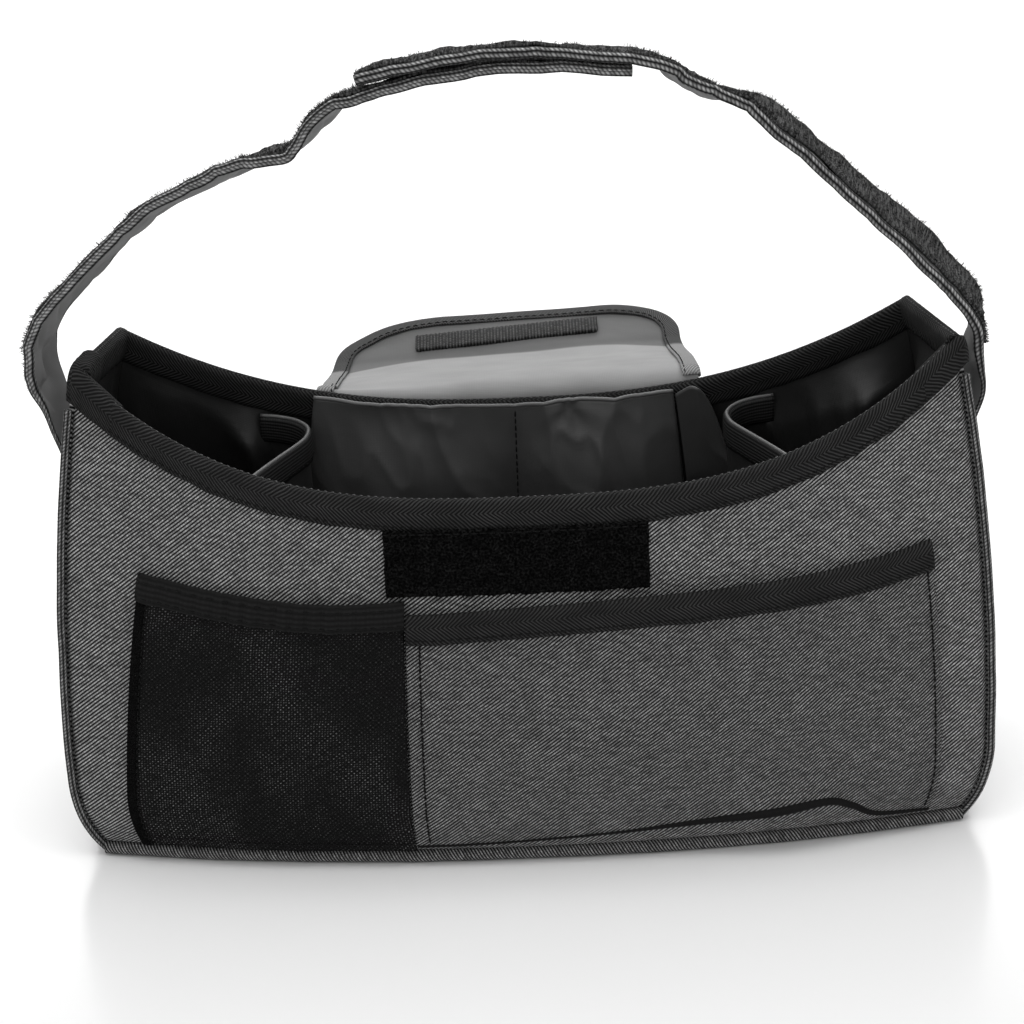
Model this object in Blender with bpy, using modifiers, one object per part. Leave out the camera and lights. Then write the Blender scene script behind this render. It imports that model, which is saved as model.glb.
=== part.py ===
"""Stroller organizer: an open-topped padded caddy with front pockets, two cup dividers,
a lid turned back behind the rim, and two hook-and-loop straps joined into a carry handle.

Metres, +X to the wearer's right, -Y the pocket front, +Z up. The origin is the middle
of the flat bottom. Every wall layer is an offset of one ring of rows around the bag.
"""
import math

import bmesh
import bpy
import numpy as np

# Fit between pieces
GAP = 0.0003
SEW_GAP = 0.0005

# Wall layers, from the outside in
TWILL = 0.0008
PADDING = 0.0015
LINING = 0.0006
WALL = TWILL + GAP + PADDING + GAP + LINING

# Outer body
HALF_RIM = 0.172
HALF_RIM_BACK = 0.161
HALF_BOTTOM = 0.185
SIDE_BELLY = 0.006
CORNER_TUCK = 0.010
CORNER_TUCK_END = 0.16
DEPTH_CORNER_RIM = 0.031
DEPTH_CORNER_BOTTOM = 0.051
DEPTH_MIDDLE_RIM = 0.0585
DEPTH_MIDDLE_BOTTOM = 0.0690
FACE_BELLY = 0.003
FACE_POWER = 2.2
FOOT_TUCK = 0.004
FOOT_TUCK_END = 0.09
SEAM_Z = 0.003
RIM_MIDDLE_Z = 0.1525
RIM_MIDDLE_BACK_Z = 0.1505
RIM_CORNER_Z = 0.2025
RIM_CORNER_BACK_Z = 0.1985
RIM_POWER = 3.2
RIM_POWER_BACK = 2.5
GUSSET_CROWN = 0.004

# Rows up the wall, columns across a face, and steps across the gusset
ROWS = (0.0, 0.04, 0.10, 0.30, 0.50, 0.70, 0.87, 1.0)
HALF_COLUMNS = (0.15, 0.30, 0.45, 0.60, 0.74, 0.85, 0.93, 1.0)
COLUMNS = tuple(-u for u in reversed(HALF_COLUMNS)) + (0.0,) + HALF_COLUMNS
STEPS = (0.0, 0.08, 0.5, 0.92, 1.0)

# Seam welt between the faces and the gusset
WELT_RADIUS = 0.0016
WELT_TOP_ROW = 0.93
SEAM_MARGIN = WELT_RADIUS + 2 * GAP

# Tape folded over the rim
TAPE = 0.0007
TAPE_LEG = 0.0100
TAPE_EASE = 0.0006
OVER_TAPE = TAPE_EASE + TAPE + 3 * GAP

# Base board and the lining's floor
BOARD = 0.0026
BOARD_END = 0.90
BOARD_STEP = 0.10
BOARD_Z = TWILL + GAP
LINING_Z = BOARD_Z + BOARD + GAP

# Padding edges stay clear of the seams and of the tape
PADDING_MARGIN = 0.003
PADDING_TOP_MARGIN = 0.06
LINING_TOP_MARGIN = 0.0012

# Loop patch on the front
PATCH_LEFT_X = -0.054
PATCH_RIGHT_X = 0.0485
PATCH_BOTTOM_Z = 0.1170
PATCH_TOP_Z = 0.1422
PATCH = 0.0018
PLACE_TRIES = 6

# Mesh pocket, lower left of the front, in face fractions
MESH = 0.0006
MESH_LEFT_TOP = -0.828
MESH_LEFT_BOTTOM = -0.895
MESH_RIGHT = -0.262
MESH_TOP_LEFT = 0.655
MESH_TOP_RIGHT = 0.705
MESH_BOTTOM = 0.035
MESH_SWELL = 0.0032

# Twill pocket, lower right of the front
POCKET_LEFT = -0.2575
POCKET_RIGHT_TOP = 0.862
POCKET_RIGHT_BOTTOM = 0.885
POCKET_TOP_LEFT = 0.685
POCKET_TOP_RIGHT = 0.665
POCKET_BOTTOM_LEFT = 0.055
POCKET_BOTTOM_RIGHT = 0.060
POCKET_HEM_LIFT = 0.045
POCKET_SWELL = 0.0034

# Elastic and tape on pocket tops
ELASTIC = 0.0008
ELASTIC_LEG = 0.0100
POCKET_TAPE_LEG = 0.0095

# Slip pocket on the back wall, inside, sewn down its middle
SLIP_LEFT = -0.53
SLIP_MIDDLE = -0.005
SLIP_RIGHT = 0.375
SLIP_BOTTOM = 0.10
SLIP_TOP = 0.995
SLIP_SWELL = 0.012

# Cup dividers: how far from the bag's middle they run, from the front wall to the back one
CUP_LINE = (
    (0.00, 0.1240), (0.18, 0.1170), (0.36, 0.1090), (0.54, 0.1000), (0.70, 0.0915),
    (0.80, 0.0870), (0.87, 0.0868), (0.93, 0.0915), (0.97, 0.0985), (1.00, 0.1070),
)
CUP_FOOT_SPREAD = 0.006
CUP_FOOT_Z = 0.0058
CUP_TOP_Z = 0.1492
CUP_BAND_LEG = 0.0080
CUP_BAND_MARGIN = 0.0026
CUP_REACH = WALL * 1.06 + SEW_GAP
CUP_FOOT_EASE = 0.0018

# Lid turned back over the rear rim; its arc is measured back and up from the rim's middle
LID_MIDDLE_X = -0.003
LID_HALF_BASE = 0.080
LID_HALF_END = 0.0760
LID_CORNER = 0.034
LID_TILT = 0.040
LID_CLEAR = TAPE + 2 * GAP + TWILL
LID_BASE_DROP = 0.013
LID_TAPE_LEG = 0.0065
LID_TAPE_START = 3
LID_ACROSS = 12
LID_ARC = (
    (0.0042, 0.0045), (0.0100, 0.0062), (0.0220, 0.0048), (0.0370, 0.0014),
    (0.0530, -0.0018), (0.0660, -0.0028), (0.0740, -0.0012),
)
LID_END = (0.1010, 0.0033)
LID_END_TURNS = (0.25, 0.50, 0.72, 0.88, 1.0)
HOOK_HALF = 0.041
HOOK_WIDTH = 0.014
HOOK = 0.0014

# Carry straps: middle lines seen from the front, with the lean of the outer face in degrees
STRAP_WIDTH = 0.034
STRAP = 0.0018
STRAP_TAPE_WIDTH = 0.026
STRAP_TAPE = 0.0009
STRAP_STEPS = 2
STRAP_FOOT_LEAN = -9
STRAP_FOOT_HEIGHTS = (0.140, 0.150, 0.160)
LEFT_LINE = (
    (-HALF_RIM - 0.0107, 0.174, -9), (-HALF_RIM - 0.0135, 0.182, -12),
    (-HALF_RIM - 0.0175, 0.191, -16), (-HALF_RIM - 0.0190, 0.201, -20),
    (-HALF_RIM - 0.0140, 0.213, -24), (-0.1690, 0.2310, -26), (-0.1420, 0.2550, -26),
    (-0.1120, 0.2715, -25), (-0.0800, 0.2840, -22), (-0.0570, 0.2985, -12),
    (-0.0300, 0.3056, -6), (0.0100, 0.3088, -6), (0.0480, 0.3062, -6),
)
RIGHT_LINE = (
    (HALF_RIM + 0.0102, 0.174, -9), (HALF_RIM + 0.0106, 0.184, -8),
    (HALF_RIM + 0.0112, 0.194, -6), (HALF_RIM + 0.0105, 0.204, -3),
    (0.1750, 0.2150, -2), (0.1530, 0.2380, -2), (0.1270, 0.2630, -2),
    (0.1020, 0.2850, -8), (0.0790, 0.2985, -14), (0.0560, 0.3095, -8),
    (0.0200, 0.3140, -6), (-0.0200, 0.3134, -6), (-0.0560, 0.3076, -6),
)
OVERLAP_HALF = 0.044


def smooth_step(value):
    """Ease from 0 to 1."""
    value = min(max(value, 0.0), 1.0)
    return value * value * (3 - 2 * value)


def rim_height(side, column):
    """Height of the front (side -1) or back (side 1) rim above the table."""
    if side < 0:
        return RIM_MIDDLE_Z + (RIM_CORNER_Z - RIM_MIDDLE_Z) * abs(column) ** RIM_POWER
    rise = RIM_CORNER_BACK_Z - RIM_MIDDLE_BACK_Z
    return RIM_MIDDLE_BACK_Z + rise * abs(column) ** RIM_POWER_BACK


def half_width(side, row):
    """Half a panel's width at a row between the bottom seam and the rim."""
    rim = HALF_RIM if side < 0 else HALF_RIM_BACK
    straight = HALF_BOTTOM + (rim - HALF_BOTTOM) * row
    belly = SIDE_BELLY * 4 * row * (1 - row)
    tuck = CORNER_TUCK * (1 - min(row / CORNER_TUCK_END, 1)) ** 2
    return straight + belly - tuck


def face_point(side, column, row):
    """Outer face of the front (side -1) or back (side 1) panel."""
    x = column * half_width(side, row)
    corner = DEPTH_CORNER_BOTTOM + (DEPTH_CORNER_RIM - DEPTH_CORNER_BOTTOM) * row
    middle = DEPTH_MIDDLE_BOTTOM + (DEPTH_MIDDLE_RIM - DEPTH_MIDDLE_BOTTOM) * row
    middle += FACE_BELLY * 4 * row * (1 - row)
    fullness = 1 - abs(column) ** FACE_POWER
    depth = corner + (middle - corner) * fullness
    depth -= FOOT_TUCK * (1 - min(row / FOOT_TUCK_END, 1)) ** 2
    z = SEAM_Z + row * (rim_height(side, column) - SEAM_Z)
    return np.array((x, side * depth, z))


def gusset_point(side, step, row):
    """Outer face of the left (side -1) or right (side 1) gusset, front seam to back seam."""
    front = face_point(-1, side, row)
    back = face_point(1, side, row)
    point = front + (back - front) * step
    point[0] += side * GUSSET_CROWN * math.sin(math.pi * row) * 4 * step * (1 - step)
    return point


def wall_ring(row):
    """One closed row around the bag, anticlockwise from the front left corner."""
    front = [face_point(-1, u, row) for u in COLUMNS]
    right = [gusset_point(1, w, row) for w in STEPS[1:-1]]
    back = [face_point(1, u, row) for u in reversed(COLUMNS)]
    left = [gusset_point(-1, w, row) for w in reversed(STEPS[1:-1])]
    return front + right + back + left


def unit(vector):
    return vector / np.linalg.norm(vector)


def offset(grid, distance, closed=False):
    """Move a grid of points along its own outward normals, keeping corners sharp."""
    rows, columns = grid.shape[:2]
    cells = columns if closed else columns - 1
    normals = np.zeros((rows - 1, cells, 3))
    for i in range(rows - 1):
        for j in range(cells):
            k = (j + 1) % columns
            one = grid[i + 1, k] - grid[i, j]
            two = grid[i + 1, j] - grid[i, k]
            normals[i, j] = unit(np.cross(one, two))
    moved = grid.copy()
    for i in range(rows):
        for j in range(columns):
            near = []
            for a in (i - 1, i):
                for b in (j - 1, j):
                    if closed:
                        b %= cells
                    if 0 <= a < rows - 1 and 0 <= b < cells:
                        near.append(normals[a, b])
            push = np.linalg.pinv(np.array(near), rcond=0.25) @ np.full(len(near), distance)
            moved[i, j] = grid[i, j] + push
    return moved


def trim(grid, side_margin, end_margin):
    """Draw a grid's border rows and columns in by a margin."""
    cut = grid.copy()
    for edge, inner in ((0, 1), (-1, -2)):
        for i in range(grid.shape[0]):
            cut[i, edge] += unit(cut[i, inner] - cut[i, edge]) * side_margin
        for j in range(grid.shape[1]):
            cut[edge, j] += unit(cut[inner, j] - cut[edge, j]) * end_margin
    return cut


def smooth_line(points, pieces):
    """Catmull-Rom line through points."""
    ends = [2 * np.array(points[0]) - np.array(points[1])]
    ends += [np.array(p) for p in points]
    ends += [2 * np.array(points[-1]) - np.array(points[-2])]
    line = []
    for a, b, c, d in zip(ends, ends[1:], ends[2:], ends[3:]):
        for step in range(pieces):
            t = step / pieces
            curve = 2 * b + (c - a) * t + (2 * a - 5 * b + 4 * c - d) * t * t
            line.append((curve + (3 * b - a - 3 * c + d) * t ** 3) / 2)
    line.append(ends[-2])
    return line


def clear_scene():
    for thing in list(bpy.data.objects):
        bpy.data.objects.remove(thing, do_unlink=True)


def material(name, colour, roughness):
    """A plain Principled material of its own for a node."""
    made = bpy.data.materials.new(name)
    made.use_nodes = True
    shader = made.node_tree.nodes["Principled BSDF"]
    shader.inputs["Base Color"].default_value = (*colour, 1)
    shader.inputs["Roughness"].default_value = roughness
    return made


CLOTHS = {
    "twill": ((0.105, 0.105, 0.108), 0.9),
    "padding": ((0.30, 0.30, 0.31), 0.95),
    "lining": ((0.045, 0.045, 0.047), 0.6),
    "board": ((0.35, 0.33, 0.30), 0.8),
    "tape": ((0.016, 0.016, 0.017), 0.8),
    "mesh": ((0.010, 0.010, 0.011), 0.9),
    "elastic": ((0.018, 0.018, 0.019), 0.7),
    "loops": ((0.008, 0.008, 0.008), 1.0),
    "hooks": ((0.030, 0.030, 0.031), 0.7),
}


def finish(thing, cloth):
    """Link, paint and smooth one node."""
    colour, roughness = CLOTHS[cloth]
    thing.data.materials.append(material(thing.name + "_" + cloth, colour, roughness))
    bpy.data.collections["stroller_organizer"].objects.link(thing)
    thing.data.shade_smooth()
    thing.data.set_sharp_from_angle(angle=math.radians(40))
    return thing


def surface(name, grids, closed=False):
    """Open quad surface over one or more grids that share border points."""
    points = []
    faces = []
    for grid, wraps in grids:
        start = len(points)
        rows, columns = grid.shape[:2]
        points += [tuple(p) for line in grid for p in line]
        for i in range(rows - 1):
            for j in range(columns if wraps else columns - 1):
                k = (j + 1) % columns
                corners = (i * columns + j, i * columns + k)
                corners += ((i + 1) * columns + k, (i + 1) * columns + j)
                faces.append(tuple(start + c for c in corners))
    mesh = bpy.data.meshes.new(name)
    mesh.from_pydata(points, [], faces)
    shape = bmesh.new()
    shape.from_mesh(mesh)
    bmesh.ops.remove_doubles(shape, verts=shape.verts, dist=0.000001)
    shape.to_mesh(mesh)
    shape.free()
    return bpy.data.objects.new(name, mesh)


def cloth(name, grids, thickness, slot):
    """A cloth piece: its outer face is the given surface, and it is thick inwards."""
    thing = surface(name, grids)
    solid = thing.modifiers.new("thickness", "SOLIDIFY")
    solid.thickness = thickness
    solid.offset = -1
    solid.use_even_offset = True
    solid.use_quality_normals = True
    return finish(thing, slot)


def folded_tape(name, edge, outward, inward, wall, leg, tape, slot, wraps=False):
    """Tape folded over a sheet's edge: outer leg, over the top, inner leg."""
    back = wall + SEW_GAP
    lines = []
    for across, along in ((SEW_GAP, leg), (SEW_GAP, -SEW_GAP), (-back, -SEW_GAP), (-back, leg)):
        line = [p + o * across + d * along for p, o, d in zip(edge, outward, inward)]
        lines.append(line)
    grid = np.array(lines)
    thing = surface(name, [(grid, wraps)])
    solid = thing.modifiers.new("thickness", "SOLIDIFY")
    solid.thickness = tape
    solid.offset = 1
    solid.use_even_offset = True
    solid.use_quality_normals = True
    return finish(thing, slot)


def body_rings():
    return np.array([wall_ring(row) for row in ROWS])


def slices(rings):
    """Front, right, back and left parts of a ring grid, corners included."""
    across = len(COLUMNS)
    deep = len(STEPS) - 1
    front = rings[:, :across]
    right = rings[:, across - 1:across + deep]
    back = rings[:, across + deep - 1:2 * across + deep - 1]
    left = np.concatenate((rings[:, 2 * across + deep - 2:], rings[:, :1]), axis=1)
    return front, right, back, left


def face_panels(rings):
    """Outer twill panels, held back from the welt at their sides and foot."""
    front, _, back, _ = slices(rings)
    for name, grid in (("front_panel", front), ("back_panel", back)):
        panel = trim(grid, SEAM_MARGIN, 0)
        for column in range(panel.shape[1]):
            panel[0, column] += unit(panel[1, column] - panel[0, column]) * SEAM_MARGIN
        cloth(name, [(panel, False)], TWILL, "twill")


def gusset_line(margin):
    """Cross rows of the gusset: down the left side, under the bag, up the right side."""
    lines = []
    for row in reversed(ROWS):
        lines.append([gusset_point(-1, w, row) for w in STEPS])
    for column in COLUMNS[1:-1]:
        front = face_point(-1, column, 0)
        back = face_point(1, column, 0)
        line = [front + (back - front) * w for w in STEPS]
        for point in line[1:-1]:
            point[2] = 0
        lines.append(line)
    for row in ROWS:
        lines.append([gusset_point(1, w, row) for w in STEPS])
    return trim(np.array(lines), margin, 0)


def gusset():
    """One band: left side, bottom and right side."""
    grid = gusset_line(SEAM_MARGIN)
    cloth("gusset_band", [(grid, False)], TWILL, "twill")


def welts():
    """Round covered cord sewn into each seam between a face and the gusset."""
    rows = [row for row in ROWS if row < WELT_TOP_ROW] + [WELT_TOP_ROW]
    for name, side in (("front_welt", -1), ("back_welt", 1)):
        line = [face_point(side, -1, row) for row in reversed(rows)]
        line += [face_point(side, column, 0) for column in COLUMNS[1:-1]]
        line += [face_point(side, 1, row) for row in rows]
        curve = bpy.data.curves.new(name, "CURVE")
        curve.dimensions = "3D"
        curve.bevel_depth = WELT_RADIUS
        curve.bevel_resolution = 1
        curve.use_fill_caps = True
        spline = curve.splines.new("POLY")
        spline.points.add(len(line) - 1)
        for knot, point in zip(spline.points, line):
            knot.co = (*point, 1)
        drawn = bpy.data.objects.new(name + "_curve", curve)
        mesh = bpy.data.meshes.new_from_object(drawn)
        bpy.data.objects.remove(drawn)
        shape = bmesh.new()
        shape.from_mesh(mesh)
        bmesh.ops.remove_doubles(shape, verts=shape.verts, dist=0.000001)
        shape.to_mesh(mesh)
        shape.free()
        finish(bpy.data.objects.new(name, mesh), "twill")


def padding(rings):
    """Foam between the outer cloth and the lining, on all four walls."""
    inside = offset(rings, -(TWILL + GAP), closed=True)
    names = ("front_padding", "right_padding", "back_padding", "left_padding")
    for name, grid in zip(names, slices(inside)):
        sheet = trim(grid, PADDING_MARGIN, 0)
        rise = sheet[1] - sheet[0]
        sheet[0] += rise * PADDING_MARGIN / np.linalg.norm(rise[0])
        sheet[-1] += (sheet[-2] - sheet[-1]) * PADDING_TOP_MARGIN
        cloth(name, [(sheet, False)], PADDING, "padding")


def floor_grid(border_front, border_back, left, right, height):
    """Grid from the front foot line to the back one, at one height."""
    lines = []
    for index, step in enumerate(STEPS):
        line = border_front + (border_back - border_front) * step
        if 0 < index < len(STEPS) - 1:
            line[0] = left[index]
            line[-1] = right[index]
        line[:, 2] = height
        lines.append(line)
    return np.array(lines)


def base_board():
    """Stiff board on the bottom, under the lining."""
    columns = [u * BOARD_END for u in COLUMNS]
    lines = []
    for step in (BOARD_STEP, 1 - BOARD_STEP):
        line = []
        for column in columns:
            front = face_point(-1, column, 0)
            back = face_point(1, column, 0)
            point = front + (back - front) * step
            point[2] = BOARD_Z + BOARD
            line.append(point)
        lines.append(line)
    cloth("base_board", [(np.array(lines), False)], BOARD, "board")


def lining_shell(rings):
    """Sewn lining: four walls and a floor in one piece."""
    inside = offset(rings, -(WALL - LINING), closed=True)
    slide = (LINING_Z - inside[0, :, 2]) / (inside[1, :, 2] - inside[0, :, 2])
    inside[0] += (inside[1] - inside[0]) * slide[:, None]
    for column in range(inside.shape[1]):
        inside[-1, column] += unit(inside[-2, column] - inside[-1, column]) * LINING_TOP_MARGIN
    front, right, back, left = slices(inside)
    floor = floor_grid(front[0], back[0, ::-1], left[0, ::-1], right[0], LINING_Z)
    cloth("lining_shell", [(inside, True), (floor[::-1], False)], LINING, "lining")


def rim_frames(rings):
    """Rim points with the wall's outward and downward directions."""
    pushed = offset(rings, 1.0, closed=True)
    outward = pushed[-1] - rings[-1]
    downward = [unit(low - high) for low, high in zip(rings[-2], rings[-1])]
    return rings[-1], outward, downward


def rim_tape(rings):
    """Tape folded over the whole rim."""
    edge, outward, downward = rim_frames(rings)
    folded_tape("rim_tape", edge, outward, downward, WALL + TAPE_EASE, TAPE_LEG, TAPE,
                "tape", wraps=True)


def face_grid(side, lines, lift):
    """Grid on a face from rows of (column, row) places, each lifted off by its own height."""
    small = 0.004
    grid = []
    for line in lines:
        made = []
        for column, row in line:
            point = face_point(side, column, row)
            along = face_point(side, column + small, row) - face_point(side, column - small, row)
            upward = face_point(side, column, row + small) - face_point(side, column, row - small)
            normal = unit(np.cross(along, upward)) * -side
            made.append(point + normal * lift(column, row))
        grid.append(made)
    return np.array(grid)


def spread(low, high, count):
    return [low + (high - low) * i / count for i in range(count + 1)]


def place_at(side, x, z):
    """Column and row of a place on a face, from how far across and how high it is."""
    column = x / half_width(side, 0.5)
    for _ in range(PLACE_TRIES):
        row = (z - SEAM_Z) / (rim_height(side, column) - SEAM_Z)
        column = x / half_width(side, min(row, 1))
    return column, row


def loop_patch():
    """Loop patch that the lid's hook strip closes on."""
    lines = []
    for z in spread(PATCH_BOTTOM_Z, PATCH_TOP_Z, 2):
        lines.append([place_at(-1, x, z) for x in spread(PATCH_LEFT_X, PATCH_RIGHT_X, 6)])
    grid = face_grid(-1, lines, lambda u, v: SEW_GAP + PATCH)
    cloth("loop_patch", [(grid, False)], PATCH, "loops")


def pocket_lines(left, right, bottom, top, columns, rows):
    """Rows of places for a pocket; each border is a pair of values to run between."""
    lines = []
    for t in spread(0, 1, rows):
        line = []
        for s in spread(0, 1, columns):
            low = left[0] + (left[1] - left[0]) * t
            high = right[0] + (right[1] - right[0]) * t
            foot = bottom(s)
            head = top[0] + (top[1] - top[0]) * s
            line.append((low + (high - low) * s, foot + (head - foot) * t))
        lines.append(line)
    return lines


def swell(lines, height):
    """Lift of each place of a pocket: none at its sewn sides and foot, most at its middle."""
    lifts = {}
    for i, line in enumerate(lines):
        t = i / (len(lines) - 1)
        for j, place in enumerate(line):
            s = j / (len(line) - 1)
            lifts[place] = height * math.sin(math.pi * s) ** 0.7 * min(1, 2.5 * t)
    return lifts


def pocket_top(grid):
    """Top edge of a pocket with its outward and downward directions."""
    raised = offset(grid, 1.0)
    outward = raised[-1] - grid[-1]
    downward = [unit(low - high) for low, high in zip(grid[-2], grid[-1])]
    return grid[-1], outward, downward


def mesh_pocket():
    lines = pocket_lines(
        (MESH_LEFT_BOTTOM, MESH_LEFT_TOP), (MESH_RIGHT, MESH_RIGHT),
        lambda s: MESH_BOTTOM, (MESH_TOP_LEFT, MESH_TOP_RIGHT), 9, 5)
    lifts = swell(lines, MESH_SWELL)
    base = SEW_GAP + ELASTIC + GAP + MESH
    grid = face_grid(-1, lines, lambda u, v: base + lifts[(u, v)])
    cloth("mesh_pocket", [(grid, False)], MESH, "mesh")
    edge, outward, downward = pocket_top(grid)
    folded_tape("mesh_pocket_elastic", edge, outward, downward,
                MESH, ELASTIC_LEG, ELASTIC, "elastic")


def twill_pocket():
    """Pocket whose foot lifts into a fold towards its right end."""
    lines = pocket_lines(
        (POCKET_LEFT, POCKET_LEFT), (POCKET_RIGHT_BOTTOM, POCKET_RIGHT_TOP),
        lambda s: POCKET_BOTTOM_LEFT + (POCKET_BOTTOM_RIGHT - POCKET_BOTTOM_LEFT) * s
        + POCKET_HEM_LIFT * math.sin(math.pi * min(s / 0.9, 1)) * smooth_step(s * 1.2),
        (POCKET_TOP_LEFT, POCKET_TOP_RIGHT), 14, 5)
    lifts = swell(lines, POCKET_SWELL)
    base = SEW_GAP + TAPE + GAP + TWILL
    grid = face_grid(-1, lines, lambda u, v: base + lifts[(u, v)])
    cloth("twill_pocket", [(grid, False)], TWILL, "twill")
    edge, outward, downward = pocket_top(grid)
    folded_tape("twill_pocket_tape", edge, outward, downward,
                TWILL, POCKET_TAPE_LEG, TAPE, "tape")


def slip_pocket():
    """Gathered two-part pocket inside the back wall."""
    half = 6
    columns = spread(SLIP_LEFT, SLIP_MIDDLE, half)
    columns += spread(SLIP_MIDDLE, SLIP_RIGHT, half)[1:]
    lines = [[(u, v) for u in columns] for v in spread(SLIP_BOTTOM, SLIP_TOP, 4)]
    start = WALL + LINING + SEW_GAP

    def depth(u, v):
        low, high = (SLIP_LEFT, SLIP_MIDDLE) if u <= SLIP_MIDDLE else (SLIP_MIDDLE, SLIP_RIGHT)
        across = math.sin(math.pi * (u - low) / (high - low)) ** 0.8 if low < u < high else 0
        upward = (v - SLIP_BOTTOM) / (SLIP_TOP - SLIP_BOTTOM)
        over_tape = OVER_TAPE * smooth_step(2 * upward - 0.8)
        return -(start + over_tape + SLIP_SWELL * across * min(1, 3 * upward))

    grid = face_grid(1, lines, depth)
    cloth("slip_pocket", [(grid, False)], LINING, "lining")


def wall_depth(side, x, z):
    """Outer depth of a face at a place across the bag and a height."""
    column, row = place_at(side, x, z)
    return abs(face_point(side, column, row)[1])


def cup_grid(side):
    """Divider from the front wall to the back wall, turning near the back one."""
    front_x = CUP_LINE[0][1]
    back_x = CUP_LINE[-1][1]
    lines = []
    for t in spread(0, 1, 4):
        reach = CUP_REACH + OVER_TAPE * t ** 4 + CUP_FOOT_EASE * (1 - t) ** 4
        z = CUP_FOOT_Z + (CUP_TOP_Z - CUP_FOOT_Z) * t
        front = reach - wall_depth(-1, front_x, z)
        back = wall_depth(1, back_x, z) - reach
        line = []
        for s, x in CUP_LINE:
            spread_out = CUP_FOOT_SPREAD * (1 - t) * math.sin(math.pi * s)
            line.append((side * (x + spread_out), front + (back - front) * s, z))
        lines.append(line if side < 0 else line[::-1])
    return np.array(lines)


def cup_dividers():
    for name, side in (("left_cup", -1), ("right_cup", 1)):
        grid = cup_grid(side)
        cloth(name + "_divider", [(grid, False)], LINING, "lining")
        edge, outward, downward = pocket_top(trim(grid, CUP_BAND_MARGIN, 0))
        folded_tape(name + "_elastic", edge, outward, downward,
                    LINING, CUP_BAND_LEG, ELASTIC, "elastic")


def lid_row(half, y, z, tilt):
    """One straight row across the lid, lower at its left end."""
    row = []
    for s in spread(-1, 1, LID_ACROSS):
        row.append((LID_MIDDLE_X + half * s, y, z + tilt * half * s))
    return row


def lid_grid():
    """Outside of the lid's lining: up the back wall, over the tape and back in an arc."""
    lines = []
    for drop in (LID_BASE_DROP, 0.0):
        line = []
        for x, _, _ in lid_row(LID_HALF_BASE, 0, 0, 0):
            z = rim_height(1, x / HALF_RIM_BACK) - drop
            line.append((x, wall_depth(1, x, z) + LID_CLEAR + TAPE, z))
        lines.append(line)
    for index, (y, z) in enumerate(LID_ARC):
        t = (index + 1) / len(LID_ARC)
        half = LID_HALF_BASE + (LID_HALF_END - LID_HALF_BASE) * t
        follow = (1 - t) ** 2
        tilt = LID_TILT * (1 - follow)
        line = lid_row(half, DEPTH_MIDDLE_RIM + y, RIM_MIDDLE_BACK_Z + z, tilt)
        for k, (x, y_row, z_row) in enumerate(line):
            rise = rim_height(1, x / HALF_RIM_BACK) - RIM_MIDDLE_BACK_Z
            near = wall_depth(1, x, RIM_MIDDLE_BACK_Z + rise) - DEPTH_MIDDLE_RIM
            line[k] = (x, y_row + near * follow, z_row + rise * follow)
        lines.append(line)
    rim = np.array((DEPTH_MIDDLE_RIM, RIM_MIDDLE_BACK_Z))
    last = rim + LID_ARC[-1]
    for turn in LID_END_TURNS:
        angle = turn * math.pi / 2
        y, z = last + (rim + LID_END - last) * math.sin(angle)
        half = LID_HALF_END - LID_CORNER * (1 - math.cos(angle))
        lines.append(lid_row(half, y, z, LID_TILT))
    return np.array(lines)


def lid():
    """Lid of twill and lining, inside face up, with tape on its three free edges."""
    middle = lid_grid()
    top = offset(middle, GAP / 2 + LINING)
    under = offset(middle, -GAP / 2)
    cloth("lid_lining", [(top, False)], LINING, "lining")
    cloth("lid_panel", [(under, False)], TWILL, "twill")
    raised = offset(top, 1.0) - top
    rows = range(LID_TAPE_START, len(top))
    border = [(i, 0) for i in rows]
    border += [(len(top) - 1, j) for j in range(1, top.shape[1] - 1)]
    border += [(i, -1) for i in reversed(rows)]
    edge = [top[place] for place in border]
    outward = [raised[place] for place in border]
    inward = []
    for index in range(len(edge)):
        before = edge[max(index - 1, 0)]
        after = edge[min(index + 1, len(edge) - 1)]
        inward.append(unit(np.cross(after - before, outward[index])))
    folded_tape("lid_tape", edge, outward, inward,
                LINING + GAP + TWILL, LID_TAPE_LEG, TAPE, "tape")
    hook_strip(top)


def hook_strip(top):
    """Hook strip near the lid's free edge."""
    middle = top.shape[1] // 2
    spine = top[:, middle]
    lengths = np.concatenate(([0], np.cumsum(np.linalg.norm(np.diff(spine, axis=0), axis=1))))
    far = lengths[-1] - LID_TAPE_LEG - TAPE - SEW_GAP
    lines = []
    for along in spread(far - HOOK_WIDTH, far, 2):
        y = np.interp(along, lengths, spine[:, 1])
        z = np.interp(along, lengths, spine[:, 2])
        row = spread(-HOOK_HALF, HOOK_HALF, 4)
        lines.append([(LID_MIDDLE_X + x, y, z + LID_TILT * x) for x in row])
    grid = offset(np.array(lines), SEW_GAP + HOOK)
    cloth("lid_hook_strip", [(grid, False)], HOOK, "hooks")


def strap_grid(line, width, side):
    """Grid along a strap: each row runs front to back, its far end leaning outwards."""
    half = STRAP_TAPE_WIDTH / 2
    places = [y for y in (-STRAP_WIDTH / 2, -half, half, STRAP_WIDTH / 2) if abs(y) <= width / 2]
    grid = []
    for index, (x, z, lean) in enumerate(line):
        before = line[max(index - 1, 0)]
        after = line[min(index + 1, len(line) - 1)]
        run = unit((after - before)[:2])
        outward = side * np.array((run[1], 0, -run[0]))
        across = np.array((0, math.cos(math.radians(lean)), 0))
        across += outward * math.sin(math.radians(lean))
        row = [np.array((x, 0, z)) + across * y for y in places]
        grid.append(row if side > 0 else row[::-1])
    return np.array(grid)


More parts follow.
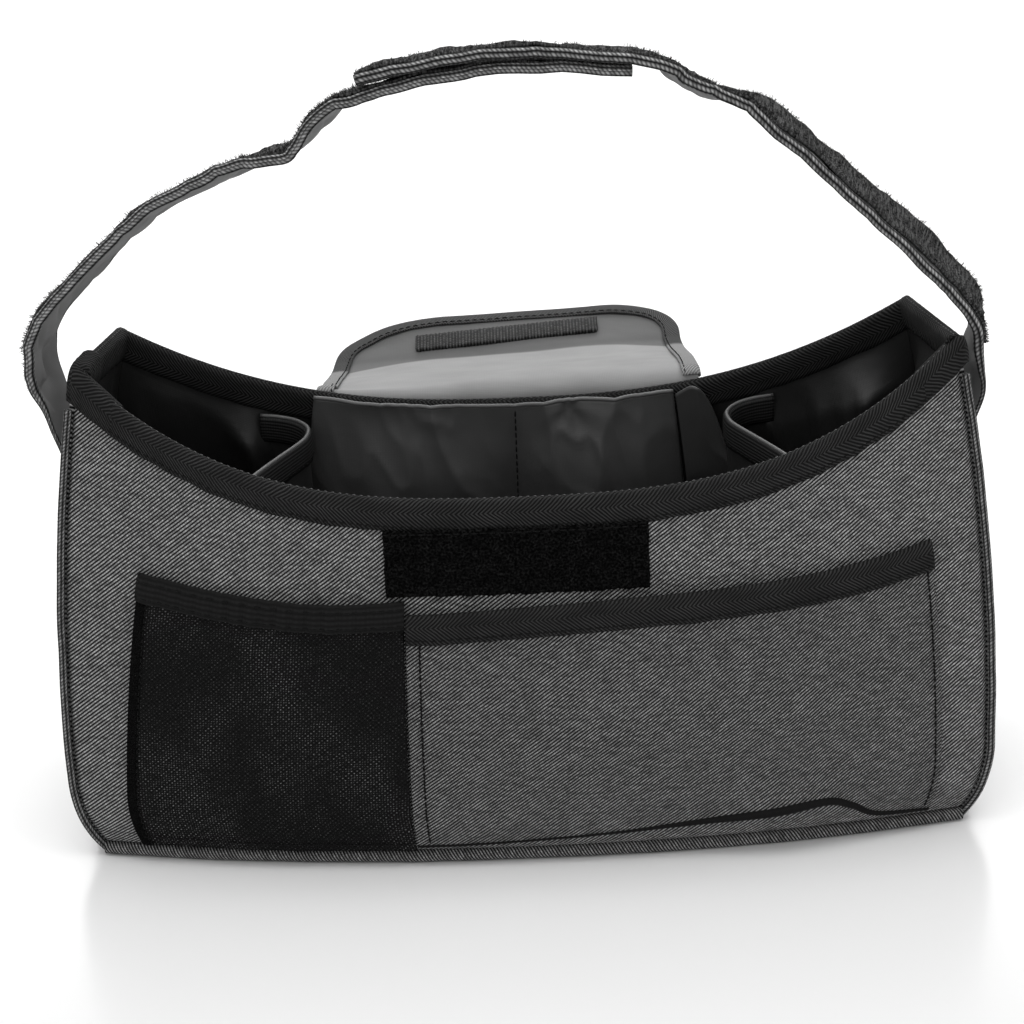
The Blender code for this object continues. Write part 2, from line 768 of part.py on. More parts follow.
def strap_foot(side):
    """Where a strap's sewn end lies flat against the gusset, from its cut end upwards."""
    corner_z = (rim_height(-1, 1) + rim_height(1, 1)) / 2
    foot = []
    for z in STRAP_FOOT_HEIGHTS:
        row = (z - SEAM_Z) / (corner_z - SEAM_Z)
        out = abs(gusset_point(side, 0.5, row)[0]) + SEW_GAP + STRAP / 2
        foot.append((side * out, z, STRAP_FOOT_LEAN))
    return tuple(foot)


def strap(name, points, side):
    """Flat twill strap with loop tape on its outer face and hook tape under its end."""
    line = smooth_line(strap_foot(side) + points, STRAP_STEPS)
    outer = offset(strap_grid(line, STRAP_WIDTH, side), STRAP / 2)
    cloth(name + "_strap", [(outer, False)], STRAP, "twill")
    narrow = strap_grid(line, STRAP_TAPE_WIDTH, side)
    tape = offset(narrow, STRAP / 2 + SEW_GAP + STRAP_TAPE)
    sewn = (2 + len(STRAP_FOOT_HEIGHTS)) * STRAP_STEPS
    cloth(name + "_strap_loop_tape", [(tape[sewn:], False)], STRAP_TAPE, "loops")
    return narrow


def straps():
    strap("left", LEFT_LINE, -1)
    narrow = strap("right", RIGHT_LINE, 1)
    under = offset(narrow, -(STRAP / 2 + SEW_GAP))
    end = [i for i, line in enumerate(under) if line[1, 0] < OVERLAP_HALF]
    cloth("right_strap_hook_tape", [(under[end], False)], STRAP_TAPE, "hooks")


def build():
    clear_scene()
    home = bpy.data.collections.new("stroller_organizer")
    bpy.context.scene.collection.children.link(home)
    rings = body_rings()
    face_panels(rings)
    gusset()
    welts()
    padding(rings)
    base_board()
    lining_shell(rings)
    rim_tape(rings)
    loop_patch()
    mesh_pocket()
    twill_pocket()
    slip_pocket()
    cup_dividers()
    lid()
    straps()


build()
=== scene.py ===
"""Looks of the stroller organizer: cloth, bindings, stitches, floor, light and camera.

Metres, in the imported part's frame: +X to the right as seen from the pocket side,
-Y the pocket side, +Z up. The bag's measures repeat those of its solid model.
"""
import math

import bpy
import numpy as np
from mathutils import Matrix, Vector, noise


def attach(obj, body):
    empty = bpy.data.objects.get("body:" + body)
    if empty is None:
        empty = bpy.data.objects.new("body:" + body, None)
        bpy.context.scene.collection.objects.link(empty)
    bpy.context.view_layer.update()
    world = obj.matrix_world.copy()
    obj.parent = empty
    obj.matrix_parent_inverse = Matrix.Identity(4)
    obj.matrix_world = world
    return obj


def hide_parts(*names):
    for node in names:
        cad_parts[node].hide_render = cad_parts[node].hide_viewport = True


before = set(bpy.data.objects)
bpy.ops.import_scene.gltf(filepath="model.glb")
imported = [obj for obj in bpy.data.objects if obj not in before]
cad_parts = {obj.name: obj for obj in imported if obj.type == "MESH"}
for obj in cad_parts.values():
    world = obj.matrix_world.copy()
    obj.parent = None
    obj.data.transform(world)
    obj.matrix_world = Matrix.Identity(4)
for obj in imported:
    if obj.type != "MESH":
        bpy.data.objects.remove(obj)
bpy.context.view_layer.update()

# Fit between pieces and wall layers
GAP = 0.0003
SEW_GAP = 0.0005
TWILL = 0.0008
PADDING = 0.0015
LINING = 0.0006
WALL = TWILL + GAP + PADDING + GAP + LINING

# Outer body
HALF_RIM = 0.172
HALF_RIM_BACK = 0.161
HALF_BOTTOM = 0.185
SIDE_BELLY = 0.006
CORNER_TUCK = 0.010
CORNER_TUCK_END = 0.16
DEPTH_CORNER_RIM = 0.031
DEPTH_CORNER_BOTTOM = 0.051
DEPTH_MIDDLE_RIM = 0.0585
DEPTH_MIDDLE_BOTTOM = 0.0690
FACE_BELLY = 0.003
FACE_POWER = 2.2
FOOT_TUCK = 0.004
FOOT_TUCK_END = 0.09
SEAM_Z = 0.003
RIM_MIDDLE_Z = 0.1525
RIM_MIDDLE_BACK_Z = 0.1505
RIM_CORNER_Z = 0.2025
RIM_CORNER_BACK_Z = 0.1985
RIM_POWER = 3.2
RIM_POWER_BACK = 2.5
GUSSET_CROWN = 0.004
FLOOR_Z = 0.0040

# Seam between a face and the gusset
WELT_RADIUS = 0.0016
WELT_TOP_ROW = 0.93
FOOT_ROLL_RADIUS = 0.0028
SEAM_MARGIN = 0.0017
SEAM_ROLL = 0.0034
SEAM_DIP = 0.0014

# Tapes
TAPE = 0.0007
TAPE_LEG = 0.0100
RIM_END_START = 0.90
RIM_END_ROUNDS = 6
RIM_END_RISE = 0.0012
ELASTIC = 0.0008
ELASTIC_LEG = 0.0100
POCKET_TAPE_LEG = 0.0110

# Loop patch
PATCH_LEFT_X = -0.054
PATCH_RIGHT_X = 0.0485
PATCH_BOTTOM_Z = 0.1170
PATCH_TOP_Z = 0.1422
PATCH = 0.0018

# Front pockets, in face fractions
MESH = 0.0006
MESH_LEFT_TOP = -0.828
MESH_LEFT_BOTTOM = -0.882
MESH_RIGHT = -0.262
MESH_TOP = ((0.0, 0.685), (0.15, 0.699), (0.42, 0.714), (0.76, 0.727), (1.0, 0.741))
MESH_FOOT = ((0.0, 0.035), (1.0, 0.035))
MESH_SWELL = 0.0032
POCKET_LEFT = -0.2575
POCKET_RIGHT_TOP = 0.878
POCKET_RIGHT_BOTTOM = 0.885
POCKET_TOP = ((0.0, 0.704), (0.2, 0.722), (0.44, 0.735), (0.63, 0.726), (0.81, 0.703), (1.0, 0.664))
POCKET_FOOT = ((0.0, 0.053), (0.18, 0.060), (0.44, 0.080), (0.63, 0.103), (0.77, 0.117),
               (0.83, 0.092), (0.89, 0.058), (1.0, 0.045))
POCKET_FOOT_GAP = (0.0042, 0.70, 0.11)
# Radius of the thread under the front pocket's foot; it swells into a painted shadow where the foot
# lifts.
POCKET_FOOT_SEAM_SHADOW = 0.0006
POCKET_SWELL = 0.0034

# Slip pocket inside the back wall
SLIP_LEFT = -0.53
SLIP_MIDDLE = -0.005
SLIP_RIGHT = 0.411
SLIP_BOTTOM = 0.10
SLIP_TOP = 0.995
SLIP_SWELL = 0.012
SLIP_TOP_TIGHT = 0.55
SLIP_TOP_RISE = 0.0062
SLIP_GATHER = (0.022, 0.052, 0.148)
FLAP_RIGHT = 0.545
FLAP_FOOT = 0.62
FLAP_RISE = 0.0036
FLAP_FALL = 0.030
OVER_TAPE = 0.0022

# Cup dividers: how far from the bag's middle they run, from the front wall to the back one
CUP_LINE = (
    (0.00, 0.1185), (0.18, 0.1118), (0.36, 0.1050), (0.54, 0.0975), (0.70, 0.0905),
    (0.80, 0.0870), (0.87, 0.0868), (0.93, 0.0915), (0.97, 0.0985), (1.00, 0.1070),
)
CUP_FOOT_SPREAD = 0.006
CUP_FOOT_Z = 0.0058
CUP_TOP_Z = 0.1492
CUP_BAND_LEG = 0.0105
CUP_BACK_RISE = 0.0040
CUP_REACH = WALL * 1.06 + SEW_GAP

# Lid turned back over the rear rim
LID_MIDDLE_X = -0.003
LID_HALF_BASE = 0.080
LID_HALF_END = 0.0760
LID_CORNERS = {-1: (0.050, 0.036), 1: (0.034, 0.027)}
LID_TILT = 0.040
LID_CLEAR = TAPE + 2 * GAP + TWILL
LID_BASE_DROP = 0.013
LID_TAPE_LEG = 0.0065
LID_TAPE_START = 12
LID_ARC = (
    (0.0042, 0.0045), (0.0100, 0.0062), (0.0220, 0.0048), (0.0370, 0.0014),
    (0.0530, -0.0018), (0.0660, -0.0028), (0.0740, -0.0012),
)
LID_END = (0.1010, 0.0033)
# Run along the lid where its painted sheen gives way to a painted shade
LID_FOLD_RUN = 0.076
HOOK_HALF = 0.041
HOOK_WIDTH = 0.0116
HOOK = 0.0014
HOOK_BACK = 0.0066
HOOK_SLANT = 0.062

# Carry straps: middle lines seen from the front, with the lean of the outer face in degrees
STRAP_WIDTH = 0.034
STRAP = 0.0018
STRAP_TAPE_WIDTH = 0.026
STRAP_TAPE = 0.0009
STRAP_HEM = 0.0021
STRAP_FOOT_HEM = 0.0010
STRAP_FOOT_LEAN = -9
STRAP_FOOT_HEIGHTS = (0.140, 0.150, 0.160)
LEFT_LINE = (
    (-HALF_RIM - 0.0107, 0.174, -6), (-HALF_RIM - 0.0125, 0.182, -7),
    (-HALF_RIM - 0.0150, 0.191, -9), (-HALF_RIM - 0.0155, 0.201, -12),
    (-HALF_RIM - 0.0115, 0.213, -14), (-0.1680, 0.2315, -16), (-0.1420, 0.2550, -16),
    (-0.1120, 0.2705, -18), (-0.0930, 0.2768, -13), (-0.0815, 0.2796, -10),
    (-0.0725, 0.2895, -15), (-0.0650, 0.2960, -13), (-0.0560, 0.2995, -9),
    (-0.0300, 0.3056, -11), (0.0100, 0.3088, -12), (0.0480, 0.3062, -12),
)
RIGHT_LINE = (
    (HALF_RIM + 0.0102, 0.174, -9), (HALF_RIM + 0.0106, 0.184, -4),
    (HALF_RIM + 0.0112, 0.194, 3), (HALF_RIM + 0.0105, 0.204, 10),
    (0.1750, 0.2150, 11), (0.1530, 0.2380, 10), (0.1270, 0.2630, 8),
    (0.1020, 0.2850, 3), (0.0900, 0.2912, -10), (0.0780, 0.2958, -17),
    (0.0670, 0.3018, -15), (0.0560, 0.3088, -11),
    (0.0200, 0.3140, -12), (-0.0200, 0.3134, -12), (-0.0560, 0.3068, -12),
)
OVERLAP_HALF = 0.044
STRAP_PILE_START = 50

# Table
FLOOR_WHITE = 0.80
FLOOR_GLOW = 0.35
FLOOR_GLOSS = 0.14
GLOSS_FADE = (-0.21, -0.06)
GLOW_FROM = (0.26, 0.60)
FLOOR_ROUGHNESS = 0.20
TABLE_HALF = 3.0
TABLE_CURVE_Y = 1.5
TABLE_CURVE = 1.0
BACKDROP_Z = 4.0

# Waves, pile and folds of the cloth: heights, and how many to the metre
FACE_WAVES = ((0.0014, 14), (0.0005, 45))
GUSSET_WAVES = ((0.0012, 24), (0.0005, 70))
PATCH_WAVES = ((0.0007, 900), (0.0005, 300))
NET_WAVES = ((0.0007, 40), (0.0004, 110))
POCKET_WAVES = ((0.0008, 22), (0.0003, 80))
LINING_FOLDS = ((0.0060, 16), (0.0025, 48))
SLIP_FOLDS = ((0.0030, 30), (0.0012, 75))

# Light: each lamp's name, place, target, width and height, and watts
WORLD_LIGHT = 0.65
LAMPS = (
    ("top_light", (0.0, -0.1, 1.5), (0, 0, 0.1), (1.5, 1.0), 14),
    ("front_light", (-0.5, -1.7, 0.9), (0, 0, 0.1), (1.4, 1.0), 5.5),
    ("right_light", (1.6, -0.6, 0.8), (0, 0, 0.12), (0.8, 1.0), 1.2),
    ("back_light", (0.0, 1.6, 1.0), (0, 0, 0.15), (1.6, 0.8), 9),
)

# Camera, as fitted to the photograph
CAMERA_ELEVATION = math.radians(23)
CAMERA_ROLL = math.radians(-2.3)
CAMERA_DISTANCE = 1.15
CAMERA_TARGET = Vector((-0.0038, 0, 0.1244))
CAMERA_LENS = 99.14


# The bag's surfaces

def rim_height(side, column):
    """Height of the front (side -1) or back (side 1) rim above the table."""
    if side < 0:
        return RIM_MIDDLE_Z + (RIM_CORNER_Z - RIM_MIDDLE_Z) * np.abs(column) ** RIM_POWER
    rise = RIM_CORNER_BACK_Z - RIM_MIDDLE_BACK_Z
    return RIM_MIDDLE_BACK_Z + rise * np.abs(column) ** RIM_POWER_BACK


def half_width(side, row):
    """Half a panel's width at a row between the bottom seam and the rim."""
    rim = HALF_RIM if side < 0 else HALF_RIM_BACK
    straight = HALF_BOTTOM + (rim - HALF_BOTTOM) * row
    belly = SIDE_BELLY * 4 * row * (1 - row)
    tuck = CORNER_TUCK * (1 - np.minimum(row / CORNER_TUCK_END, 1)) ** 2
    return straight + belly - tuck


def face_point(side, column, row):
    """Outer face of the front or back panel, for arrays of columns and rows."""
    column, row = np.broadcast_arrays(np.asarray(column, float), np.asarray(row, float))
    x = column * half_width(side, row)
    corner = DEPTH_CORNER_BOTTOM + (DEPTH_CORNER_RIM - DEPTH_CORNER_BOTTOM) * row
    middle = DEPTH_MIDDLE_BOTTOM + (DEPTH_MIDDLE_RIM - DEPTH_MIDDLE_BOTTOM) * row
    middle = middle + FACE_BELLY * 4 * row * (1 - row)
    fullness = 1 - np.abs(column) ** FACE_POWER
    depth = corner + (middle - corner) * fullness
    depth = depth - FOOT_TUCK * (1 - np.minimum(row / FOOT_TUCK_END, 1)) ** 2
    z = SEAM_Z + row * (rim_height(side, column) - SEAM_Z)
    return np.stack((x, side * depth, z), axis=-1)


def gusset_point(side, step, row):
    """Outer face of the left (side -1) or right gusset, front seam to back seam."""
    step, row = np.broadcast_arrays(np.asarray(step, float), np.asarray(row, float))
    front = face_point(-1, side, row)
    back = face_point(1, side, row)
    point = front + (back - front) * step[..., None]
    point[..., 0] += side * GUSSET_CROWN * np.sin(math.pi * row) * 4 * step * (1 - step)
    return point


def place_at(side, x, z):
    """Column and row of a place on a face, from how far across and how high it is."""
    column = x / half_width(side, 0.5)
    for _ in range(6):
        row = (z - SEAM_Z) / (rim_height(side, column) - SEAM_Z)
        column = x / half_width(side, np.minimum(row, 1))
    return column, row


def wall_depth(side, x, z):
    column, row = place_at(side, x, z)
    return np.abs(face_point(side, column, row)[..., 1])


# Grids of points

def unit(vectors):
    length = np.linalg.norm(vectors, axis=-1, keepdims=True)
    return vectors / np.maximum(length, 1e-12)


def smooth_step(value):
    value = np.clip(value, 0, 1)
    return value * value * (3 - 2 * value)


def outward(grid, wrap=False):
    """Outward normals of a grid, lengthened at its corners so that offsets stay even."""
    if wrap:
        grid = np.concatenate((grid, grid[:, :1]), axis=1)
    one = grid[1:, 1:] - grid[:-1, :-1]
    two = grid[1:, :-1] - grid[:-1, 1:]
    cells = unit(np.cross(one, two))
    rows, columns = grid.shape[:2]
    total = np.zeros((rows, columns, 3))
    for a in (0, 1):
        for b in (0, 1):
            total[a:rows - 1 + a, b:columns - 1 + b] += cells
    if wrap:
        total[:, 0] += total[:, -1]
        total[:, -1] = total[:, 0]
    mean = unit(total)
    spread_of = np.zeros((rows, columns))
    count = np.zeros((rows, columns))
    for a in (0, 1):
        for b in (0, 1):
            block = mean[a:rows - 1 + a, b:columns - 1 + b]
            spread_of[a:rows - 1 + a, b:columns - 1 + b] += (block * cells).sum(-1)
            count[a:rows - 1 + a, b:columns - 1 + b] += 1
    if wrap:
        spread_of[:, 0] += spread_of[:, -1]
        count[:, 0] += count[:, -1]
    lengthen = count / np.maximum(spread_of, 0.4 * count)
    made = mean * lengthen[..., None]
    return made[:, :-1] if wrap else made


def push(grid, distance, wrap=False):
    """Move a grid along its outward normals."""
    distance = np.asarray(distance, float)
    if distance.ndim:
        distance = distance[..., None]
    return grid + outward(grid, wrap) * distance


def run_lengths(grid, axis):
    """Distance run along an axis of a grid, from its first line."""
    steps = np.linalg.norm(np.diff(grid, axis=axis), axis=-1)
    first = np.zeros_like(np.take(steps, [0], axis=axis))
    return np.cumsum(np.concatenate((first, steps), axis=axis), axis=axis)


def cloth_uv(grid, wrap=False):
    """Metres along the rows and up the columns, the same for a whole column or row."""
    if wrap:
        grid = np.concatenate((grid, grid[:, :1]), axis=1)
    across = run_lengths(grid, 1).mean(axis=0)
    upward = run_lengths(grid, 0).mean(axis=1)
    u, v = np.meshgrid(across, upward)
    return np.stack((u, v), axis=-1)


def flat_uv(grid):
    """Metres on the flat cut of a panel, measured from its middle column and the table."""
    level = grid.copy()
    level[..., 2] = 0
    across = run_lengths(level, 1)
    middle = grid.shape[1] // 2
    across = across - across[:, middle:middle + 1]
    upward = run_lengths(grid, 0)
    return np.stack((across, upward + grid[:1, :, 2]), axis=-1)


def soft_noise(points, scale, seed):
    """Smooth noise from -1 to 1 at each point."""
    flat = points.reshape(-1, 3) * scale + np.array((seed * 7.3, seed * 3.1, seed * 5.7))
    values = [noise.noise(Vector(p)) for p in flat]
    return np.array(values).reshape(points.shape[:-1])


def layered(kind, points, seed, sizes):
    """Sum of noises of one kind, for sizes given as (height, scale)."""
    return sum(height * kind(points, scale, seed + k) for k, (height, scale) in enumerate(sizes))


def creases(points, scale, seed):
    """Folds from 0 to 1: narrow crests with wide soft hollows between them."""
    crest = 1 - 2.2 * np.abs(soft_noise(points, scale, seed))
    return np.clip(crest, 0, 1) ** 2


def path_lengths(points):
    """Distance run along a path, from its first point."""
    return np.concatenate(([0], np.cumsum(np.linalg.norm(np.diff(points, axis=0), axis=1))))


def sampled(places, run, vectors):
    """Vectors known along a path, read off at other distances along it."""
    return np.stack([np.interp(places, run, vectors[:, k]) for k in range(3)], axis=-1)


def smooth_line(points, pieces):
    """Catmull-Rom line through points."""
    points = [np.array(p, float) for p in points]
    ends = [2 * points[0] - points[1]] + points + [2 * points[-1] - points[-2]]
    line = []
    for a, b, c, d in zip(ends, ends[1:], ends[2:], ends[3:]):
        for step in range(pieces):
            t = step / pieces
            curve = 2 * b + (c - a) * t + (2 * a - 5 * b + 4 * c - d) * t * t
            line.append((curve + (3 * b - a - 3 * c + d) * t ** 3) / 2)
    line.append(ends[-2])
    return np.array(line)


def even_path(points, spacing):
    """Points at even spacing along a path, and how far along it they are."""
    points = np.asarray(points, float)
    run = path_lengths(points)
    count = max(int(round(run[-1] / spacing)), 1)
    places = np.linspace(0, run[-1], count + 1)
    return sampled(places, run, points), places


# Mesh objects

def mesh_object(name, parts):
    """One mesh from grids given as (grid, uv, wraps)."""
    points, faces, uvs = [], [], []
    start = 0
    for grid, uv, wrap in parts:
        rows, columns = grid.shape[:2]
        last = columns if wrap else columns - 1
        i, j = np.meshgrid(np.arange(rows - 1), np.arange(last), indexing="ij")
        k = (j + 1) % columns
        quads = np.stack((i * columns + j, i * columns + k,
                          (i + 1) * columns + k, (i + 1) * columns + j), axis=-1)
        faces.append(quads.reshape(-1, 4) + start)
        corners = np.stack((uv[i, j], uv[i, j + 1], uv[i + 1, j + 1], uv[i + 1, j]), axis=2)
        uvs.append(corners.reshape(-1, 2))
        points.append(grid.reshape(-1, 3))
        start += rows * columns
    mesh = bpy.data.meshes.new(name)
    mesh.from_pydata(np.concatenate(points).tolist(), [], np.concatenate(faces).tolist())
    layer = mesh.uv_layers.new(name="UVMap")
    layer.data.foreach_set("uv", np.concatenate(uvs).astype(np.float32).ravel())
    mesh.shade_smooth()
    thing = bpy.data.objects.new(name, mesh)
    bpy.context.scene.collection.objects.link(thing)
    return thing


def thicken(thing, thickness, side=-1, even=True):
    solid = thing.modifiers.new("thickness", "SOLIDIFY")
    solid.thickness = thickness
    solid.offset = side
    solid.use_even_offset = even
    solid.use_quality_normals = True
    return thing


def dress(thing, paint, slot, *nodes):
    """Give a piece its material and its body, and hide the nodes that it stands for; its slot is
    not used.
    """
    if paint.name not in thing.data.materials:
        thing.data.materials.append(paint)
    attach(thing, "root")
    if nodes:
        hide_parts(*nodes)
    return thing


def cloth(name, grid, thickness, paint, slot, *nodes, uv=None, even=True):
    """A cloth piece whose outer face is the grid."""
    uv = cloth_uv(grid) if uv is None else uv
    thing = thicken(mesh_object(name, [(grid, uv, False)]), thickness, even=even)
    return dress(thing, paint, slot, *nodes)


def tube_grid(path, radii, sides=10, normal=(0, 0, 1), flat=1.0):
    """Round tube along a path; flat squeezes it along the normal."""
    run = unit(np.gradient(path, axis=0))
    up = np.broadcast_to(np.asarray(normal, float), path.shape)
    side = unit(np.cross(run, up))
    up = unit(np.cross(side, run))
    angles = np.arange(sides) * 2 * math.pi / sides
    radii = np.broadcast_to(np.asarray(radii, float), path.shape[:1])[:, None, None]
    ring = side[:, None] * np.cos(angles)[None, :, None]
    ring = ring + up[:, None] * np.sin(angles)[None, :, None] * flat
    return path[:, None] + ring * radii


def tube(name, path, radii, paint, slot, *nodes, sides=10, normal=(0, 0, 1), flat=1.0):
    """Closed tube; its ends are drawn in to a point."""
    grid = tube_grid(path, radii, sides, normal, flat)
    tip = grid[:1] * 0 + path[0]
    tail = grid[:1] * 0 + path[-1]
    grid = np.concatenate((tip, grid, tail))
    thing = mesh_object(name, [(grid, cloth_uv(grid, True), True)])
    return dress(thing, paint, slot, *nodes)


def seam_stitches(name, paths, paint, slot, length=0.0026, gap=0.0008, radius=0.00028):
    """Thread stitches along paths given as (points, outward direction at each point)."""
    parts = []
    for points, away in paths:
        places, run = even_path(points, length + gap)
        away = np.broadcast_to(np.asarray(away, float), np.shape(points))
        outs = unit(sampled(run, path_lengths(points), away))
        for a, b, out in zip(places, places[1:], outs):
            ahead = unit(b - a)
            share = length / (length + gap)
            end = a + (b - a) * share
            t = np.array((0.0, 0.12, 0.5, 0.88, 1.0))[:, None]
            rise = np.array((-0.9, 0.3, 0.9, 0.3, -0.9))[:, None] * radius
            line = a + (end - a) * t + out * rise
            widths = np.array((0.35, 0.9, 1.0, 0.9, 0.35)) * radius
            side = unit(np.cross(ahead, out))
            angles = np.arange(6) * math.pi / 3
            ring = side[None, None] * np.cos(angles)[None, :, None]
            ring = ring + out[None, None] * np.sin(angles)[None, :, None]
            grid = line[:, None] + ring * widths[:, None, None]
            parts.append((grid, cloth_uv(grid, True), True))
    return dress(mesh_object(name, parts), paint, slot)


def folded_tape(name, edge, away, inward, wall, leg, thickness, paint, slot, *nodes,
                wrap=False, crown=0.0008, ruffle=0.0003, seed=1, inner_leg=None, bow=0.0003):
    """Tape folded over an edge: outer leg, rounded fold, inner leg."""
    inner_leg = leg if inner_leg is None else inner_leg
    back = wall + SEW_GAP
    half = (back + SEW_GAP) / 2
    profile = []
    for t in np.linspace(0, 1, 7)[:-1]:
        profile.append((SEW_GAP + bow * math.sin(math.pi * t), leg * (1 - t)))
    for t in np.linspace(0, 1, 7):
        angle = math.pi * t
        profile.append((-half + SEW_GAP + half * math.cos(angle), -crown * math.sin(angle)))
    for t in np.linspace(0, 1, 6)[1:]:
        profile.append((-back - bow * math.sin(math.pi * t), inner_leg * t))
    run = path_lengths(edge)
    uneven = np.array([noise.noise(Vector((r * 130, seed * 3.7, 0))) for r in run])
    pucker = np.array([noise.noise(Vector((r * 420, seed * 1.9, 4))) for r in run])
    grid = []
    for index, (across, along) in enumerate(profile):
        share = max(along, 0) / leg
        down = along + ruffle * uneven * share
        over = across + np.sign(across + back / 2) * 0.5 * ruffle * pucker * (0.4 + share)
        grid.append(edge + away * over[:, None] + inward * down[:, None])
    grid = np.array(grid)
    uv = cloth_uv(grid, wrap)
    thing = thicken(mesh_object(name, [(grid, uv, wrap)]), thickness, side=1, even=False)
    return dress(thing, paint, slot, *nodes), grid


# Materials

class Value:
    """A number in a material's node tree, with plain arithmetic."""

    def __init__(self, paint, socket):
        self.paint = paint
        self.socket = socket

    def __add__(self, other):
        return self.paint.math("ADD", self, other)

    def __sub__(self, other):
        return self.paint.math("SUBTRACT", self, other)

    def __rsub__(self, other):
        return self.paint.math("SUBTRACT", other, self)

    def __mul__(self, other):
        return self.paint.math("MULTIPLY", self, other)

    def __truediv__(self, other):
        return self.paint.math("DIVIDE", self, other)

    def __pow__(self, other):
        return self.paint.math("POWER", self, other)


class Paint:
    """Builds one procedural material from its node tree."""

    def __init__(self, name, roughness=0.9, specular=0.1):
        self.material = bpy.data.materials.new(name)
        self.material.use_nodes = True
        self.tree = self.material.node_tree
        self.shader = self.tree.nodes["Principled BSDF"]
        self.shader.inputs["Roughness"].default_value = roughness
        self.shader.inputs["Specular IOR Level"].default_value = specular

    def node(self, kind, **inputs):
        made = self.tree.nodes.new(kind)
        for key, value in inputs.items():
            self.feed(made.inputs[key.replace("_", " ")], value)
        return made

    def feed(self, socket, value):
        value = getattr(value, "socket", value)
        if isinstance(value, bpy.types.NodeSocket):
            self.tree.links.new(value, socket)
        else:
            socket.default_value = value

    def math(self, operation, a, b=0.0):
        made = self.tree.nodes.new("ShaderNodeMath")
        made.operation = operation
        self.feed(made.inputs[0], a)
        self.feed(made.inputs[1], b)
        return Value(self, made.outputs[0])

    def place(self):
        """The cloth's own metres, along and up."""
        coordinates = self.tree.nodes.new("ShaderNodeTexCoord")
        split = self.node("ShaderNodeSeparateXYZ", Vector=coordinates.outputs["UV"])
        return Value(self, split.outputs[0]), Value(self, split.outputs[1])

    def vector(self, x, y, z=0.0):
        return self.node("ShaderNodeCombineXYZ", X=x, Y=y, Z=z).outputs[0]

    def noise(self, x, y, detail=2.0, z=0.0):
        made = self.node("ShaderNodeTexNoise", Vector=self.vector(x, y, z), Scale=1.0,
                         Detail=detail)
        return Value(self, made.outputs[0])

    def random(self, x, y):
        """One random number for each pair of rounded numbers."""
        made = self.tree.nodes.new("ShaderNodeTexWhiteNoise")
        made.noise_dimensions = "2D"
        self.feed(made.inputs["Vector"], self.vector(self.math("ROUND", x), self.math("ROUND", y)))
        return Value(self, made.outputs["Value"])

    def wave(self, phase):
        """A smooth wave from 0 to 1 with one crest at each whole number."""
        return self.math("COSINE", phase * (2 * math.pi)) * 0.5 + 0.5

    def stretch(self, value, low, high):
        """Smooth step from 0 to 1 while a value runs from low to high."""
        made = self.node("ShaderNodeMapRange", Value=value, From_Min=low, From_Max=high)
        made.interpolation_type = "SMOOTHSTEP"
        return Value(self, made.outputs[0])

    def blend(self, one, two, share):
        """Colour between two others, each a colour's numbers or a node's output."""
        mix = self.tree.nodes.new("ShaderNodeMix")
        mix.data_type = "RGBA"
        for socket, value in zip((mix.inputs[0], mix.inputs[6], mix.inputs[7]), (share, one, two)):
            self.feed(socket, value)
        return mix.outputs[2]

    def colour(self, value):
        self.feed(self.shader.inputs["Base Color"], value)

    def tint(self, dark, light, share):
        """Colour the cloth from one grey to another."""
        self.colour(self.blend(grey(dark), grey(light), share))

    def bump(self, height, distance, strength=1.0):
        made = self.node("ShaderNodeBump", Height=height, Strength=strength, Distance=distance)
        self.feed(self.shader.inputs["Normal"], made.outputs[0])


def grey(value):
    return (value, value, value, 1)


def turned(x, y, degrees):
    """Distances along and across a direction turned from the cloth's own."""
    c, s = math.cos(math.radians(degrees)), math.sin(math.radians(degrees))
    return x * c + y * s, y * c - x * s


def twill_paint(name, pitch, bead, degrees=37, dark=0.002, light=0.56):
    """Melange twill: beaded diagonal lines over long dark and light flecks."""
    paint = Paint(name, roughness=0.9)
    x, y = paint.place()
    along, across = turned(x, y, degrees)
    drift = (paint.noise(x * 90, y * 90) - 0.5) * 0.35
    line = across / pitch + drift
    number = paint.math("ROUND", line)
    step = number * 0.5 + along / bead
    height = paint.wave(line) ** 1.7 * (paint.wave(step) * 0.35 + 0.65)
    fleck = paint.random(line, step)
    streak = paint.stretch(paint.noise(x * 130, y * 720, 3.0), 0.30, 0.70)
    cloud = paint.noise(x * 25, y * 60, 2.0, 4.0)
    tone = height * (fleck * 0.45 + 0.60) * (streak * 0.45 + 0.60) * (cloud * 0.4 + 0.8)
    paint.tint(dark, light, tone)
    paint.bump(height, 0.0004, 0.6)
    return paint.material


def braid_paint(name, pitch, row, dark=0.004, light=0.36, slant=0.9):
    """Edge of the twill: rows of slanted beads along a seam or a hem."""
    paint = Paint(name)
    x, y = paint.place()
    band = x / row
    number = paint.math("ROUND", band)
    step = number * 0.5 + (y / pitch + (band - number) * slant)
    height = paint.wave(band) * (paint.wave(step) * 0.75 + 0.25)
    paint.tint(dark, light, height * (paint.random(band, step) * 0.6 + 0.5))
    paint.bump(height, 0.0006, 0.8)
    return paint.material


def tape_paint(name="tape_ribs", pitch=0.00115, band=0.0070):
    """Black herringbone tape."""
    paint = Paint(name, roughness=0.8)
    x, y = paint.place()
    zigzag = paint.math("PINGPONG", y, band)
    bend = paint.noise(x * 60, y * 60)
    ridge = paint.wave(bend * 2.0 + (x * 0.64 + zigzag * 0.77) / pitch) ** 1.6
    patch = paint.noise(x * 60, y * 200, 3.0, 2.0)
    paint.tint(0.003, 0.036, ridge * (patch * 1.3 + 0.2))
    paint.bump(ridge, 0.0005, 0.7)
    return paint.material


